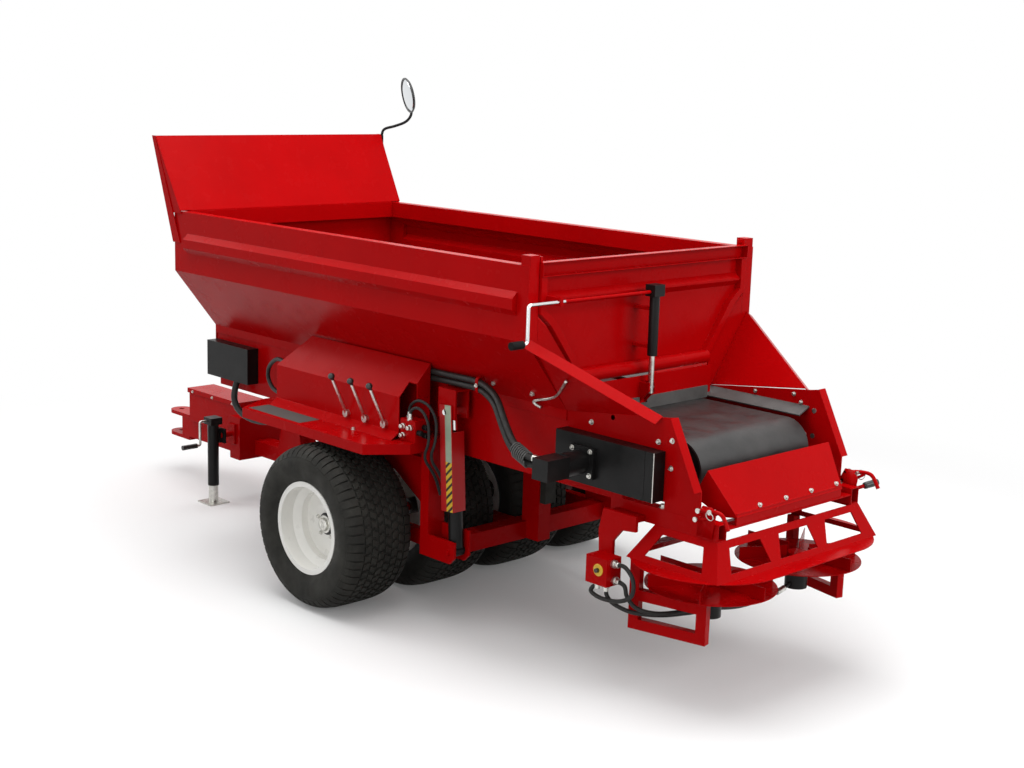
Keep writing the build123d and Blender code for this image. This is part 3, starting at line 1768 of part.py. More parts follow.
# Rear wings with a folded top edge
with BuildPart() as wing_plates:
    for side in (1, -1):
        plate_through(
            [
                (hopper_rear - turn_gap, side * (throat_half + 2), throat_z + 2),
                (wing_tip_x, side * wing_tip_y, conveyor_rear_top + 1),
                (hopper_rear - turn_gap, side * wing_top_y, wing_top_z),
            ],
            wing_sheet,
            (0, side, -1),
        )
        fold_y, fold_drop = side * wing_fold, wing_fold * wing_fold_slope
        tip_z = conveyor_rear_top + 1
        plate_through(
            [
                (hopper_rear - turn_gap, side * wing_top_y, wing_top_z),
                (wing_tip_x, side * wing_tip_y, tip_z),
                (wing_tip_x, side * wing_tip_y + fold_y, tip_z - fold_drop),
                (hopper_rear - turn_gap, side * wing_top_y + fold_y, wing_top_z - fold_drop),
            ],
            wing_sheet,
            (0, 0, -1),
        )
    # Front ends square to the hopper's rear edge
    block(
        (hopper_rear - turn_gap, hopper_rear + wing_fold),
        (-wing_top_y - 2 * wing_fold, wing_top_y + 2 * wing_fold),
        (throat_z - wing_fold, wing_top_z + wing_fold),
        mode=Mode.SUBTRACT,
    )
wing_plates.part.label = "wing_plates"
export_step(wing_plates.part, "parts/wing_plates.step")

# Discharge side plates at the end of the belt
with BuildPart() as discharge_plates:
    for side in (1, -1):
        inner, outer = sorted((side * side_low, side * throat_half))
        plate_along_y(
            [
                (conveyor_rear, spinner_rail_top),
                (conveyor_rear, conveyor_rear_top),
                (discharge_top_x, discharge_top_z),
                (discharge_low_x, discharge_low_z),
                (discharge_low_x, spinner_rail_top),
            ],
            inner,
            outer,
        )
        inner, outer = sorted((side * throat_half, side * (throat_half + discharge_flange)))
        plate_along_y(
            [
                (discharge_top_x, discharge_top_z),
                (discharge_low_x, discharge_low_z),
                (discharge_low_x + sheet, discharge_low_z),
                (discharge_top_x + sheet, discharge_top_z),
            ],
            inner,
            outer,
        )
discharge_plates.part.label = "discharge_plates"
export_step(discharge_plates.part, "parts/discharge_plates.step")

# Spinner attachment: rails, deflector tray, truss and stadium guard
with BuildPart() as spinner_rails:
    for side in (1, -1):
        inner, outer = sorted(
            (side * (spinner_rail_half - spinner_rail_wide), side * spinner_rail_half)
        )
        block(
            (spinner_rail_rear, spinner_rail_front),
            (inner, outer),
            (spinner_rail_bottom, spinner_rail_top),
        )
        block(
            (spinner_rail_rear, spinner_rail_front),
            (inner + rail_wall, outer - rail_wall),
            (spinner_rail_bottom + rail_wall, spinner_rail_top - rail_wall),
            mode=Mode.SUBTRACT,
        )
        block(
            (spinner_rail_front - 60, spinner_rail_front),
            (inner, outer),
            (spinner_rail_top, conveyor_bottom),
        )
    # Curved arm that carries the flow valve
    with BuildSketch(Plane.XZ.offset(-valve_arm_y)) as arm:
        with BuildLine():
            Polyline(
                (spinner_rail_front - 20, spinner_rail_bottom + 30),
                (spinner_rail_front - 190, spinner_rail_bottom + 30),
                (spinner_rail_front - 190, spinner_rail_bottom - 30),
                (spinner_rail_front - 120, spinner_rail_bottom - 38),
                (spinner_rail_front - 76, spinner_rail_bottom - 90),
                (spinner_rail_front - 76, flow_valve_z - 30),
                (spinner_rail_front - 10, flow_valve_z - 30),
                (spinner_rail_front, spinner_rail_bottom - 60),
                close=True,
            )
        make_face()
    extrude(to_extrude=arm.sketch, amount=-valve_arm_thick)
    block(
        (spinner_rail_front - 180, spinner_rail_front - 40),
        (spinner_rail_half, valve_arm_y),
        (spinner_rail_bottom + 2, spinner_rail_bottom + 26),
    )
spinner_rails.part.label = "spinner_rails"
export_step(spinner_rails.part, "parts/spinner_rails.step")

tray_side = Vector(chute_top_x - chute_low_x, 0, chute_top_z - chute_low_z)
with BuildPart() as spinner_chute:
    plate_through(
        [
            (chute_low_x, chute_low_half, chute_low_z),
            (chute_top_x, chute_top_half, chute_top_z),
            (chute_top_x, -chute_top_half, chute_top_z),
            (chute_low_x, -chute_low_half, chute_low_z),
        ],
        chute_sheet,
        (1, 0, 1),
    )
    for side in (1, -1):
        plate_through(
            [
                (chute_low_x, side * chute_low_half, chute_low_z),
                (chute_top_x, side * chute_top_half, chute_top_z),
                (chute_top_x + 60, side * chute_top_half, chute_top_z - 110),
                (chute_low_x + 70, side * chute_low_half, chute_low_z - 6),
            ],
            chute_sheet,
            (0, side, 0),
        )
    block(
        (chute_low_x, chute_low_x + 60),
        (-spinner_rail_half + spinner_rail_wide, spinner_rail_half - spinner_rail_wide),
        (spinner_rail_top - 30, spinner_rail_top - 24),
    )
    block(
        (chute_low_x + 4, chute_low_x + 12),
        (-chute_low_half, chute_low_half),
        (spinner_rail_top - 24, chute_low_z + 14),
    )
spinner_chute.part.label = "spinner_chute"
export_step(spinner_chute.part, "parts/spinner_chute.step")

truss_bottom_half_x = guard_half_width - guard_brim
truss_bottom_half_y = guard_half_length - guard_brim
truss_top_z = spinner_rail_bottom
truss_low_z = guard_z + guard_sheet / 2
truss_mid_x = (truss_front + spinner_rail_rear) / 2
truss_top_half_x = (truss_front - spinner_rail_rear) / 2
with BuildPart() as spinner_guard:
    with BuildSketch(Plane.XY.offset(guard_z - guard_sheet / 2)) as brim:
        with Locations((guard_x, 0)):
            SlotOverall(2 * guard_half_length, 2 * guard_half_width, rotation=90)
            Rectangle(
                2 * truss_bottom_half_x - 8, 2 * truss_bottom_half_y - 8, mode=Mode.SUBTRACT
            )
    extrude(to_extrude=brim.sketch, amount=guard_sheet)
    with BuildSketch(Plane.XY.offset(truss_low_z)) as truss_low:
        with Locations((guard_x, 0)):
            Rectangle(2 * truss_bottom_half_x, 2 * truss_bottom_half_y)
    with BuildSketch(Plane.XY.offset(truss_top_z)) as truss_high:
        with Locations((truss_mid_x, 0)):
            Rectangle(2 * truss_top_half_x, 2 * spinner_rail_half)
    loft(sections=[truss_low.sketch, truss_high.sketch])
    with BuildSketch(Plane.XY.offset(truss_low_z)) as hollow_low:
        with Locations((guard_x, 0)):
            Rectangle(2 * truss_bottom_half_x - 10, 2 * truss_bottom_half_y - 10)
    with BuildSketch(Plane.XY.offset(truss_top_z)) as hollow_high:
        with Locations((truss_mid_x, 0)):
            Rectangle(2 * truss_top_half_x - 10, 2 * spinner_rail_half - 10)
    loft(sections=[hollow_low.sketch, hollow_high.sketch], mode=Mode.SUBTRACT)
    # Window openings through the four sloping walls
    window_low, window_high = truss_low_z + 22, truss_top_z - 26
    for centre_y in (-300, 0, 300):
        plate_along_x(
            [
                (centre_y - 120, window_low),
                (centre_y + 120, window_low),
                (centre_y + 92, window_high),
                (centre_y - 92, window_high),
            ],
            guard_x - guard_half_width,
            guard_x + guard_half_width,
            mode=Mode.SUBTRACT,
        )
    plate_along_y(
        [
            (guard_x - 140, window_low),
            (guard_x + 140, window_low),
            (guard_x + 90, window_high),
            (guard_x - 110, window_high),
        ],
        -guard_half_length,
        guard_half_length,
        mode=Mode.SUBTRACT,
    )
spinner_guard.part.label = "spinner_guard"
export_step(spinner_guard.part, "parts/spinner_guard.step")

# Legs: a closed frame on each side, hung from the guard, with the motors' cross bar
with BuildPart() as spinner_legs:
    for side in (1, -1):
        front = Vector(leg_front_x, side * leg_front_y, 0)
        rear = Vector(leg_rear_x, side * leg_rear_y, 0)
        run = rear - front
        leg_plane = Plane(origin=front, x_dir=run, z_dir=run.cross(Vector(0, 0, 1)))
        # The frame's own second axis may point down, so heights take its sign
        upward = leg_plane.y_dir.Z
        with BuildSketch(leg_plane) as leg:
            with Locations((run.length / 2, upward * (leg_bottom + leg_top) / 2)):
                Rectangle(run.length, leg_top - leg_bottom)
                Rectangle(
                    run.length - 2 * leg_tube, leg_top - leg_bottom - 2 * leg_tube, mode=Mode.SUBTRACT
                )
            with Locations((leg_tube / 2, upward * (leg_top + guard_z - guard_sheet / 2) / 2)):
                Rectangle(leg_tube, guard_z - guard_sheet / 2 - leg_top)
        extrude(to_extrude=leg.sketch, amount=leg_depth / 2, both=True)
        with BuildSketch(leg_plane) as leg_bore:
            with Locations((run.length / 2, upward * (leg_bottom + leg_top) / 2)):
                Rectangle(run.length - 2 * leg_wall, leg_top - leg_bottom - 2 * leg_wall)
                Rectangle(
                    run.length - 2 * leg_tube + 2 * leg_wall,
                    leg_top - leg_bottom - 2 * leg_tube + 2 * leg_wall,
                    mode=Mode.SUBTRACT,
                )
        extrude(
            to_extrude=leg_bore.sketch,
            amount=leg_depth / 2 - leg_wall,
            both=True,
            mode=Mode.SUBTRACT,
        )
    cross_reach = leg_rear_y + 4
    block(
        (disc_x - 36, disc_x + 36),
        (-cross_reach, cross_reach),
        (motor_can_top, motor_can_top + 6),
    )
    for side in (1, -1):
        bar(
            (disc_x, side * disc_y, motor_can_top),
            (disc_x, side * disc_y, motor_can_top + 6),
            motor_shaft_radius + 4,
            mode=Mode.SUBTRACT,
        )
spinner_legs.part.label = "spinner_legs"
export_step(spinner_legs.part, "parts/spinner_legs.step")

with BuildPart() as spinner_motors:
    for side in (1, -1):
        bar(
            (disc_x, side * disc_y, motor_can_bottom),
            (disc_x, side * disc_y, motor_can_top),
            motor_can_radius,
        )
spinner_motors.part.label = "spinner_motors"
export_step(spinner_motors.part, "parts/spinner_motors.step")

# Spinning discs with radial blades
for name, side in (("left", 1), ("right", -1)):
    with BuildPart() as spinner_disc:
        with BuildSketch(Plane.XY.offset(disc_z - disc_plate / 2)) as plate:
            with Locations((disc_x, side * disc_y)):
                Circle(disc_radius)
        extrude(to_extrude=plate.sketch, amount=disc_plate)
        with Locations((disc_x, side * disc_y, disc_z)):
            with PolarLocations(disc_radius / 2 + 24, blade_count):
                Box(
                    disc_radius - 48,
                    blade_thick,
                    blade_height,
                    align=(Align.CENTER, Align.CENTER, Align.MIN),
                )
        bar(
            (disc_x, side * disc_y, disc_z),
            (disc_x, side * disc_y, disc_z + 22),
            disc_hub_radius,
        )
        bar(
            (disc_x, side * disc_y, motor_can_top + turn_gap),
            (disc_x, side * disc_y, disc_z),
            motor_shaft_radius,
        )
    spinner_disc.part.label = f"spinner_disc_{name}"
    export_step(spinner_disc.part, f"parts/spinner_disc_{name}.step")

# Flow valve on its arm
with BuildPart() as flow_valve:
    valve_low_y = valve_arm_y + valve_arm_thick
    block(
        (flow_valve_x - flow_valve_half, flow_valve_x + flow_valve_half + 30),
        (valve_low_y, valve_low_y + 2 * flow_valve_half),
        (flow_valve_z - 55, flow_valve_z + 55),
    )
flow_valve.part.label = "flow_valve"
export_step(flow_valve.part, "parts/flow_valve.step")
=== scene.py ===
import math

import bpy
import numpy as np
from mathutils import Matrix, Vector


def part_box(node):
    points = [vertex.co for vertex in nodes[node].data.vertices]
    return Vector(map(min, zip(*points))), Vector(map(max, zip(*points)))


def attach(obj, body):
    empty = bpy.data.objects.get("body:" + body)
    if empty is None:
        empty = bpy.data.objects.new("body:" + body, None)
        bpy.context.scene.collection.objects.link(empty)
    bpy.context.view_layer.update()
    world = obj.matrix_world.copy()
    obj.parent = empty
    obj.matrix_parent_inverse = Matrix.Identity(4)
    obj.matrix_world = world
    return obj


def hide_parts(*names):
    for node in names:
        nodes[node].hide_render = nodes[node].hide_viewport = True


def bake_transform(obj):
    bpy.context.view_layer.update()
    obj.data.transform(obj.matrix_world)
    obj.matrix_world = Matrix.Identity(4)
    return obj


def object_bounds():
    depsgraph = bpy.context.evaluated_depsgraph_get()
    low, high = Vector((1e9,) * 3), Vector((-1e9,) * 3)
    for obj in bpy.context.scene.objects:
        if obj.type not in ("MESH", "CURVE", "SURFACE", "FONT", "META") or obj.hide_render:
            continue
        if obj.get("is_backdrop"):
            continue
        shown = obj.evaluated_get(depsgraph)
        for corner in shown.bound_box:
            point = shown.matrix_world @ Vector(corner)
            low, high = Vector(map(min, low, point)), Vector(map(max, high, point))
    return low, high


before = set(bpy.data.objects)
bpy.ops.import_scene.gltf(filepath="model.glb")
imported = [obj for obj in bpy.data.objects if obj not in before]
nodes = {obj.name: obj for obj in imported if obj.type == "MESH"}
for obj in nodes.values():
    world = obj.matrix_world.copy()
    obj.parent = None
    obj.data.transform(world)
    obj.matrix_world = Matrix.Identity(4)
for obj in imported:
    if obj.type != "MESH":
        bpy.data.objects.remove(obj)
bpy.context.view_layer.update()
print("stage: frame loaded")

# Places shared by several pieces, in metres, read from the frame
tyreLow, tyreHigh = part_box("tyre_1")
axleX = (tyreLow.x + tyreHigh.x) / 2
axleZ = (tyreLow.z + tyreHigh.z) / 2
tyreRadius = (tyreHigh.z - tyreLow.z) / 2
tyreHalfWidth = (tyreHigh.y - tyreLow.y) / 2
fullTurn = 2 * math.pi
bothSides = (("left", 1), ("right", -1))


# Camera: where the photographer stood, found from the photograph's perspective
cameraFacts = {
    "place": (-5.556, 4.823, 2.367),
    "yaw": math.radians(-44.03),
    "pitch": math.radians(-11.37),
    "roll": math.radians(1.8),
    "lens": 54.74,
    "sensor": 36.0,
    "clipEnd": 100,
}


def makeCamera(facts):
    # forward = (cos pitch cos yaw, cos pitch sin yaw, sin pitch)
    # right and up follow from it, then turn by the roll
    forward = Vector(
        (
            math.cos(facts["pitch"]) * math.cos(facts["yaw"]),
            math.cos(facts["pitch"]) * math.sin(facts["yaw"]),
            math.sin(facts["pitch"]),
        )
    )
    right = forward.cross(Vector((0, 0, 1))).normalized()
    up = right.cross(forward)
    turn = Matrix.Rotation(-facts["roll"], 3, forward)
    axes = Matrix((turn @ right, turn @ up, -forward)).transposed().to_4x4()
    data = bpy.data.cameras.new("camera")
    data.lens = facts["lens"]
    data.sensor_width = facts["sensor"]
    data.clip_end = facts["clipEnd"]
    camera = bpy.data.objects.new("camera", data)
    bpy.context.scene.collection.objects.link(camera)
    camera.matrix_world = Matrix.Translation(facts["place"]) @ axes
    bpy.context.scene.camera = camera


makeCamera(cameraFacts)
bpy.context.scene.view_settings.view_transform = "Standard"
print("stage: camera")


# Finishes: one function makes the shader, small ones add mottle, gloss and grain to it
finishFacts = {
    "coatRoughness": 0.06,
    "mottleRange": (0.35, 0.65),
    "glossRange": (0.3, 0.7),
    "bevelSamples": 4,
    "maskEdge": 0.0005,
    # two inputs and the output of a mix node, by its kind of data
    "mixSockets": {"RGBA": (6, 7, 2), "FLOAT": (2, 3, 0)},
}


def newFinish(name, colour, roughness, metallic=0.0, coat=0.0, specular=0.5):
    finish = bpy.data.materials.new(name)
    finish.use_nodes = True
    shader = finish.node_tree.nodes["Principled BSDF"]
    shader.inputs["Base Color"].default_value = (*colour, 1)
    shader.inputs["Roughness"].default_value = roughness
    shader.inputs["Metallic"].default_value = metallic
    shader.inputs["Coat Weight"].default_value = coat
    shader.inputs["Coat Roughness"].default_value = finishFacts["coatRoughness"]
    shader.inputs["Specular IOR Level"].default_value = specular
    return finish


def addNode(finish, kind, **settings):
    node = finish.node_tree.nodes.new(kind)
    for key, value in settings.items():
        if hasattr(node, key):
            setattr(node, key, value)
        else:
            node.inputs[key.replace("_", " ")].default_value = value
    return node


def join(finish, source, target):
    # a socket is linked to the target, a plain value is set on it
    if isinstance(source, bpy.types.NodeSocket):
        finish.node_tree.links.new(source, target)
    else:
        target.default_value = source


def shaderOf(finish):
    return finish.node_tree.nodes["Principled BSDF"]


def placeOf(finish):
    # one Object-coordinates node for each finish
    found = finish.node_tree.nodes.get("place")
    if not found:
        found = addNode(finish, "ShaderNodeTexCoord", name="place")
    return found.outputs["Object"]


def axesOf(finish):
    # the place's X, Y and Z, from one node for each finish
    found = finish.node_tree.nodes.get("axes")
    if not found:
        found = addNode(finish, "ShaderNodeSeparateXYZ", name="axes")
        join(finish, placeOf(finish), found.inputs["Vector"])
    return found.outputs


def noiseOf(finish, scale, **settings):
    # smooth noise over the place
    noise = addNode(finish, "ShaderNodeTexNoise", Scale=scale, **settings)
    join(finish, placeOf(finish), noise.inputs["Vector"])
    return noise.outputs["Fac"]


def spreadOf(finish, value, before, after, **settings):
    # a value carried from one range to another, held at both ends
    spread = addNode(finish, "ShaderNodeMapRange", **settings)
    ends = ("From Min", "From Max", "To Min", "To Max")
    for end, number in zip(ends, (*before, *after)):
        spread.inputs[end].default_value = number
    join(finish, value, spread.inputs["Value"])
    return spread.outputs["Result"]


def mathOf(finish, operation, *values):
    node = addNode(finish, "ShaderNodeMath", operation=operation)
    for value, target in zip(values, node.inputs):
        join(finish, value, target)
    return node.outputs[0]


def mixOf(finish, factor, first, second, kind="RGBA"):
    # the first value where the factor is 0, the second where it is 1
    firstInput, secondInput, result = finishFacts["mixSockets"][kind]
    mix = addNode(finish, "ShaderNodeMix", data_type=kind)
    join(finish, factor, mix.inputs[0])
    join(finish, first, mix.inputs[firstInput])
    join(finish, second, mix.inputs[secondInput])
    return mix.outputs[result]


def mottle(finish, scale, first, second):
    # colour = blend of two tones by smooth noise
    ramp = addNode(finish, "ShaderNodeValToRGB")
    stops = zip(ramp.color_ramp.elements, finishFacts["mottleRange"], (first, second))
    for stop, place, tone in stops:
        stop.position = place
        stop.color = (*tone, 1)
    join(finish, noiseOf(finish, scale, Detail=5.0, Roughness=0.6), ramp.inputs["Fac"])
    join(finish, ramp.outputs["Color"], shaderOf(finish).inputs["Base Color"])


def varyGloss(finish, scale, low, high):
    # roughness = low to high by smooth noise
    noise = noiseOf(finish, scale, Detail=4.0)
    gloss = spreadOf(finish, noise, finishFacts["glossRange"], (low, high))
    join(finish, gloss, shaderOf(finish).inputs["Roughness"])


def grain(finish, scale, distance, bevel=0.0):
    # bump height = fine noise; a bevel softens the sharp edges of folded sheet
    bump = addNode(finish, "ShaderNodeBump", Strength=1.0, Distance=distance)
    join(finish, noiseOf(finish, scale, Detail=3.0), bump.inputs["Height"])
    if bevel:
        soft = addNode(finish, "ShaderNodeBevel", samples=finishFacts["bevelSamples"], Radius=bevel)
        join(finish, soft.outputs["Normal"], bump.inputs["Normal"])
    join(finish, bump.outputs["Normal"], shaderOf(finish).inputs["Normal"])


redTone = (0.435, 0.0010, 0.0020)
redDeep = (0.385, 0.0008, 0.0016)
redPaint = newFinish("red_paint", redTone, 0.26, specular=0.04)
mottle(redPaint, 2.2, redDeep, redTone)
varyGloss(redPaint, 14.0, 0.2, 0.3)
grain(redPaint, 420.0, 0.00012, bevel=0.0025)

blackPaint = newFinish("black_paint", (0.008, 0.0078, 0.0078), 0.34, specular=0.15)
mottle(blackPaint, 9.0, (0.0062, 0.006, 0.006), (0.0105, 0.010, 0.010))
varyGloss(blackPaint, 30.0, 0.28, 0.42)
grain(blackPaint, 600.0, 0.0002, bevel=0.0018)

wheelPaint = newFinish("wheel_paint", (0.88, 0.87, 0.83), 0.3, coat=0.2)
mottle(wheelPaint, 6.0, (0.85, 0.84, 0.80), (0.90, 0.89, 0.85))
varyGloss(wheelPaint, 20.0, 0.26, 0.38)
grain(wheelPaint, 500.0, 0.0001, bevel=0.002)

tyreRubber = newFinish("tyre_rubber", (0.024, 0.023, 0.020), 0.68, specular=0.12)
mottle(tyreRubber, 11.0, (0.019, 0.0185, 0.0165), (0.033, 0.032, 0.028))
varyGloss(tyreRubber, 25.0, 0.55, 0.75)
grain(tyreRubber, 300.0, 0.0006, bevel=0.0012)

beltRubber = newFinish("belt_rubber", (0.02, 0.019, 0.019), 0.4)
mottle(beltRubber, 7.0, (0.014, 0.0135, 0.0135), (0.032, 0.030, 0.029))
varyGloss(beltRubber, 16.0, 0.32, 0.55)
grain(beltRubber, 900.0, 0.0004)

skirtRubber = newFinish("skirt_rubber", (0.07, 0.07, 0.068), 0.6)
mottle(skirtRubber, 12.0, (0.055, 0.054, 0.052), (0.09, 0.089, 0.086))
grain(skirtRubber, 260.0, 0.0004)

zincPlate = newFinish("zinc_plate", (0.56, 0.56, 0.53), 0.32, metallic=1.0)
mottle(zincPlate, 60.0, (0.48, 0.48, 0.45), (0.66, 0.65, 0.61))
varyGloss(zincPlate, 90.0, 0.24, 0.42)
grain(zincPlate, 700.0, 0.0001, bevel=0.001)

chromeTone = (0.78, 0.78, 0.78)
chromeSteel = newFinish("chrome_steel", chromeTone, 0.08, metallic=1.0)
varyGloss(chromeSteel, 60.0, 0.05, 0.14)
grain(chromeSteel, 900.0, 0.00002)

mirrorGlass = newFinish("mirror_glass", (0.72, 0.74, 0.76), 0.04, metallic=1.0)
varyGloss(mirrorGlass, 8.0, 0.03, 0.08)

plasticTone = (0.012, 0.012, 0.012)
blackPlastic = newFinish("black_plastic", plasticTone, 0.28)
varyGloss(blackPlastic, 40.0, 0.22, 0.36)
grain(blackPlastic, 800.0, 0.0001)

hoseRubber = newFinish("hose_rubber", (0.014, 0.0135, 0.013), 0.5, specular=0.25)
mottle(hoseRubber, 30.0, (0.011, 0.0105, 0.010), (0.02, 0.019, 0.018))
varyGloss(hoseRubber, 50.0, 0.42, 0.6)
grain(hoseRubber, 800.0, 0.0003)

yellowTone = (0.72, 0.46, 0.03)
yellowPaint = newFinish("yellow_paint", yellowTone, 0.4)
mottle(yellowPaint, 12.0, (0.66, 0.41, 0.025), (0.76, 0.5, 0.04))


# Finishes that change along a piece: the second one starts past a place on an axis
def pastPlace(finish, axis, start):
    # factor = 0 before the place, 1 past it
    edge = finishFacts["maskEdge"]
    return spreadOf(finish, axesOf(finish)[axis], (start - edge, start + edge), (0, 1))


def blendInto(finish, factor, colour, roughness, metallic):
    # colour, roughness and metal each turn into the second finish where the factor is 1
    changes = (
        ("Base Color", (*colour, 1), "RGBA"),
        ("Roughness", roughness, "FLOAT"),
        ("Metallic", metallic, "FLOAT"),
    )
    for socket, value, kind in changes:
        target = shaderOf(finish).inputs[socket]
        first = target.links[0].from_socket if target.links else target.default_value
        join(finish, mixOf(finish, factor, first, value, kind), target)


def copyFinish(finish, name):
    twin = finish.copy()
    twin.name = name
    return twin


maskFacts = {
    "knobsAbove": 1.015,
    "crankBright": 0.57,
    "crankGrip": 0.79,
    "jackGrip": 0.365,
    "deckPad": 0.8056,
    "rimHub": (0.051, 0.050),
}
leverSteel = copyFinish(zincPlate, "lever_steel")
blendInto(leverSteel, pastPlace(leverSteel, "Z", maskFacts["knobsAbove"]), plasticTone, 0.3, 0.0)
crankSteel = copyFinish(redPaint, "crank_steel")
blendInto(crankSteel, pastPlace(crankSteel, "Y", maskFacts["crankBright"]), chromeTone, 0.12, 1.0)
blendInto(crankSteel, pastPlace(crankSteel, "Y", maskFacts["crankGrip"]), plasticTone, 0.35, 0.0)
jackCrankSteel = copyFinish(zincPlate, "jack_crank_steel")
jackGrip = pastPlace(jackCrankSteel, "Y", maskFacts["jackGrip"])
blendInto(jackCrankSteel, jackGrip, plasticTone, 0.35, 0.0)

# deck: red, with a grey pad above its sheet
deckPaint = copyFinish(redPaint, "deck_paint")
blendInto(deckPaint, pastPlace(deckPaint, "Z", maskFacts["deckPad"]), (0.11, 0.105, 0.1), 0.75, 0.0)

# rim: white, with a black hub; factor = 1 where (x, z) is within a radius of the axle
rimPaint = copyFinish(wheelPaint, "rim_paint")
rimFlat = addNode(rimPaint, "ShaderNodeCombineXYZ")
join(rimPaint, axesOf(rimPaint)["X"], rimFlat.inputs["X"])
join(rimPaint, axesOf(rimPaint)["Z"], rimFlat.inputs["Z"])
rimReach = addNode(rimPaint, "ShaderNodeVectorMath", operation="DISTANCE")
join(rimPaint, rimFlat.outputs["Vector"], rimReach.inputs[0])
join(rimPaint, (axleX, 0, axleZ), rimReach.inputs[1])
rimHub = spreadOf(rimPaint, rimReach.outputs["Value"], maskFacts["rimHub"], (0, 1))
blendInto(rimPaint, rimHub, (0.015, 0.014, 0.014), 0.4, 0.0)

# safety prop: a strip, pale green above and striped below, between red sides
propFacts = {
    "stripeFold": 0.018,
    "blackPast": 0.0105,
    "stripesTop": 0.735,
    "lean": -0.0623,
    "stripMiddle": -0.829,
    "stripHalf": 0.019,
}
propPaint = newFinish("prop_paint", (0.33, 0.42, 0.3), 0.45)
mottle(propPaint, 12.0, (0.29, 0.37, 0.27), (0.38, 0.46, 0.34))
propColour = shaderOf(propPaint).inputs["Base Color"]
propGreen = propColour.links[0].from_socket
propX, propZ = axesOf(propPaint)["X"], axesOf(propPaint)["Z"]
# slanting stripes: z + x folded to and fro, black past a part of the fold
propSlant = mathOf(propPaint, "ADD", propZ, propX)
propFold = mathOf(propPaint, "PINGPONG", propSlant, propFacts["stripeFold"])
propBlack = mathOf(propPaint, "GREATER_THAN", propFold, propFacts["blackPast"])
propStripes = mixOf(propPaint, propBlack, (*yellowTone, 1), (*plasticTone, 1))
propTop = pastPlace(propPaint, "Z", propFacts["stripesTop"])
propStrip = mixOf(propPaint, propTop, propStripes, propGreen)
# the strip leans with the prop: x + lean z is the same all along its middle
propLean = mathOf(propPaint, "MULTIPLY_ADD", propZ, propFacts["lean"], propX)
propMask = mathOf(propPaint, "COMPARE", propLean, propFacts["stripMiddle"], propFacts["stripHalf"])
join(propPaint, mixOf(propPaint, propMask, (*redTone, 1), propStrip), propColour)
print("stage: finishes")


# A node takes the last finish whose key its name starts with, or else red
finishOfNode = {
    "tyre": tyreRubber,
    "rim": rimPaint,
    "drive_hoses": hoseRubber,
    "valve_hoses": hoseRubber,
    "safety_prop": propPaint,
    "control_deck": deckPaint,
    "buffer_rubber": tyreRubber,
    "jack_tube": blackPaint,
    "jack_foot": zincPlate,
    "jack_crank": jackCrankSteel,
    "control_levers": leverSteel,
    "mirror": mirrorGlass,
    "mirror_arm": blackPaint,
    "gate_jack": blackPaint,
    "gate_crank": crankSteel,
    "gate_seal": skirtRubber,
    "gate_rod": zincPlate,
    "cylinder_barrel": blackPaint,
    "cylinder_rod": chromeSteel,
    "conveyor_belt": beltRubber,
    "conveyor_rollers": blackPaint,
    "side_skirts": skirtRubber,
    "roller_guards": blackPaint,
    "drive_motor": blackPaint,
    "spinner_motors": blackPaint,
}
for nodeName, node in nodes.items():
    named = [finish for start, finish in finishOfNode.items() if nodeName.startswith(start)]
    node.data.materials.clear()
    node.data.materials.append(named[-1] if named else redPaint)
print("stage: finishes on the frame's nodes")


# Mesh helpers: a shape is its points and its faces, worked out as whole arrays
def putMesh(name, verts, faces, finish, body, slotName, smooth):
    mesh = bpy.data.meshes.new(name)
    mesh.from_pydata(verts.tolist(), [], faces)
    mesh.materials.append(finish)
    mesh.polygons.foreach_set("use_smooth", np.full(len(mesh.polygons), smooth))
    mesh.update()
    piece = bpy.data.objects.new(name, mesh)
    bpy.context.scene.collection.objects.link(piece)
    if body:
        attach(piece, body)
    return piece


def gathered(shapes):
    # several shapes in one mesh: each one's faces are counted on from the last
    verts, faces, start = [], [], 0
    for points, loops in shapes:
        verts.append(np.asarray(points))
        faces += [[start + corner for corner in loop] for loop in loops]
        start += len(points)
    return np.concatenate(verts), faces


def addPiece(name, shapes, finish, body, slotName, smooth=False, edge=0.0):
    # several shapes as one piece, with a small rounded edge where one is asked for
    piece = putMesh(name, *gathered(shapes), finish, body, slotName, smooth)
    if edge:
        bend = piece.modifiers.new("edge", "BEVEL")
        bend.width = edge
        bend.segments = 2
        bend.limit_method = "ANGLE"
    return piece


def gridFaces(rows, columns, closeRows=False, closeColumns=False):
    # each quad joins a grid point to its next row and column; a closed direction wraps round
    row, column = np.meshgrid(
        np.arange(rows if closeRows else rows - 1),
        np.arange(columns if closeColumns else columns - 1),
        indexing="ij",
    )
    nextRow, nextColumn = (row + 1) % rows, (column + 1) % columns
    corners = [
        row * columns + column,
        row * columns + nextColumn,
        nextRow * columns + nextColumn,
        nextRow * columns + column,
    ]
    return np.stack(corners, -1).reshape(-1, 4)


def endFaces(rings, count):
    # the faces that close a tube of rings at both ends
    last = (rings - 1) * count
    return [list(range(count))[::-1], list(range(last, last + count))]


def unit(vectors):
    vectors = np.asarray(vectors, float)
    return vectors / np.linalg.norm(vectors, axis=-1, keepdims=True)


def mirrored(points, side):
    # the same places on the left for side 1, on the right for side -1
    return np.array(points) * (1, side, 1)


def smoothPath(points, count):
    # curve through the points: each span is the cubic of its four neighbours
    points = np.asarray(points, float)
    ends = np.vstack([2 * points[0] - points[1], points, 2 * points[-1] - points[-2]])
    along = np.linspace(0, len(points) - 1, count)
    span = np.minimum(along.astype(int), len(points) - 2)
    share = (along - span)[:, None]
    a, b, c, d = (ends[span + shift] for shift in range(4))
    square = (2 * a - 5 * b + 4 * c - d) * share**2
    cubic = (3 * b - a - 3 * c + d) * share**3
    return 0.5 * (2 * b + (c - a) * share + square + cubic)


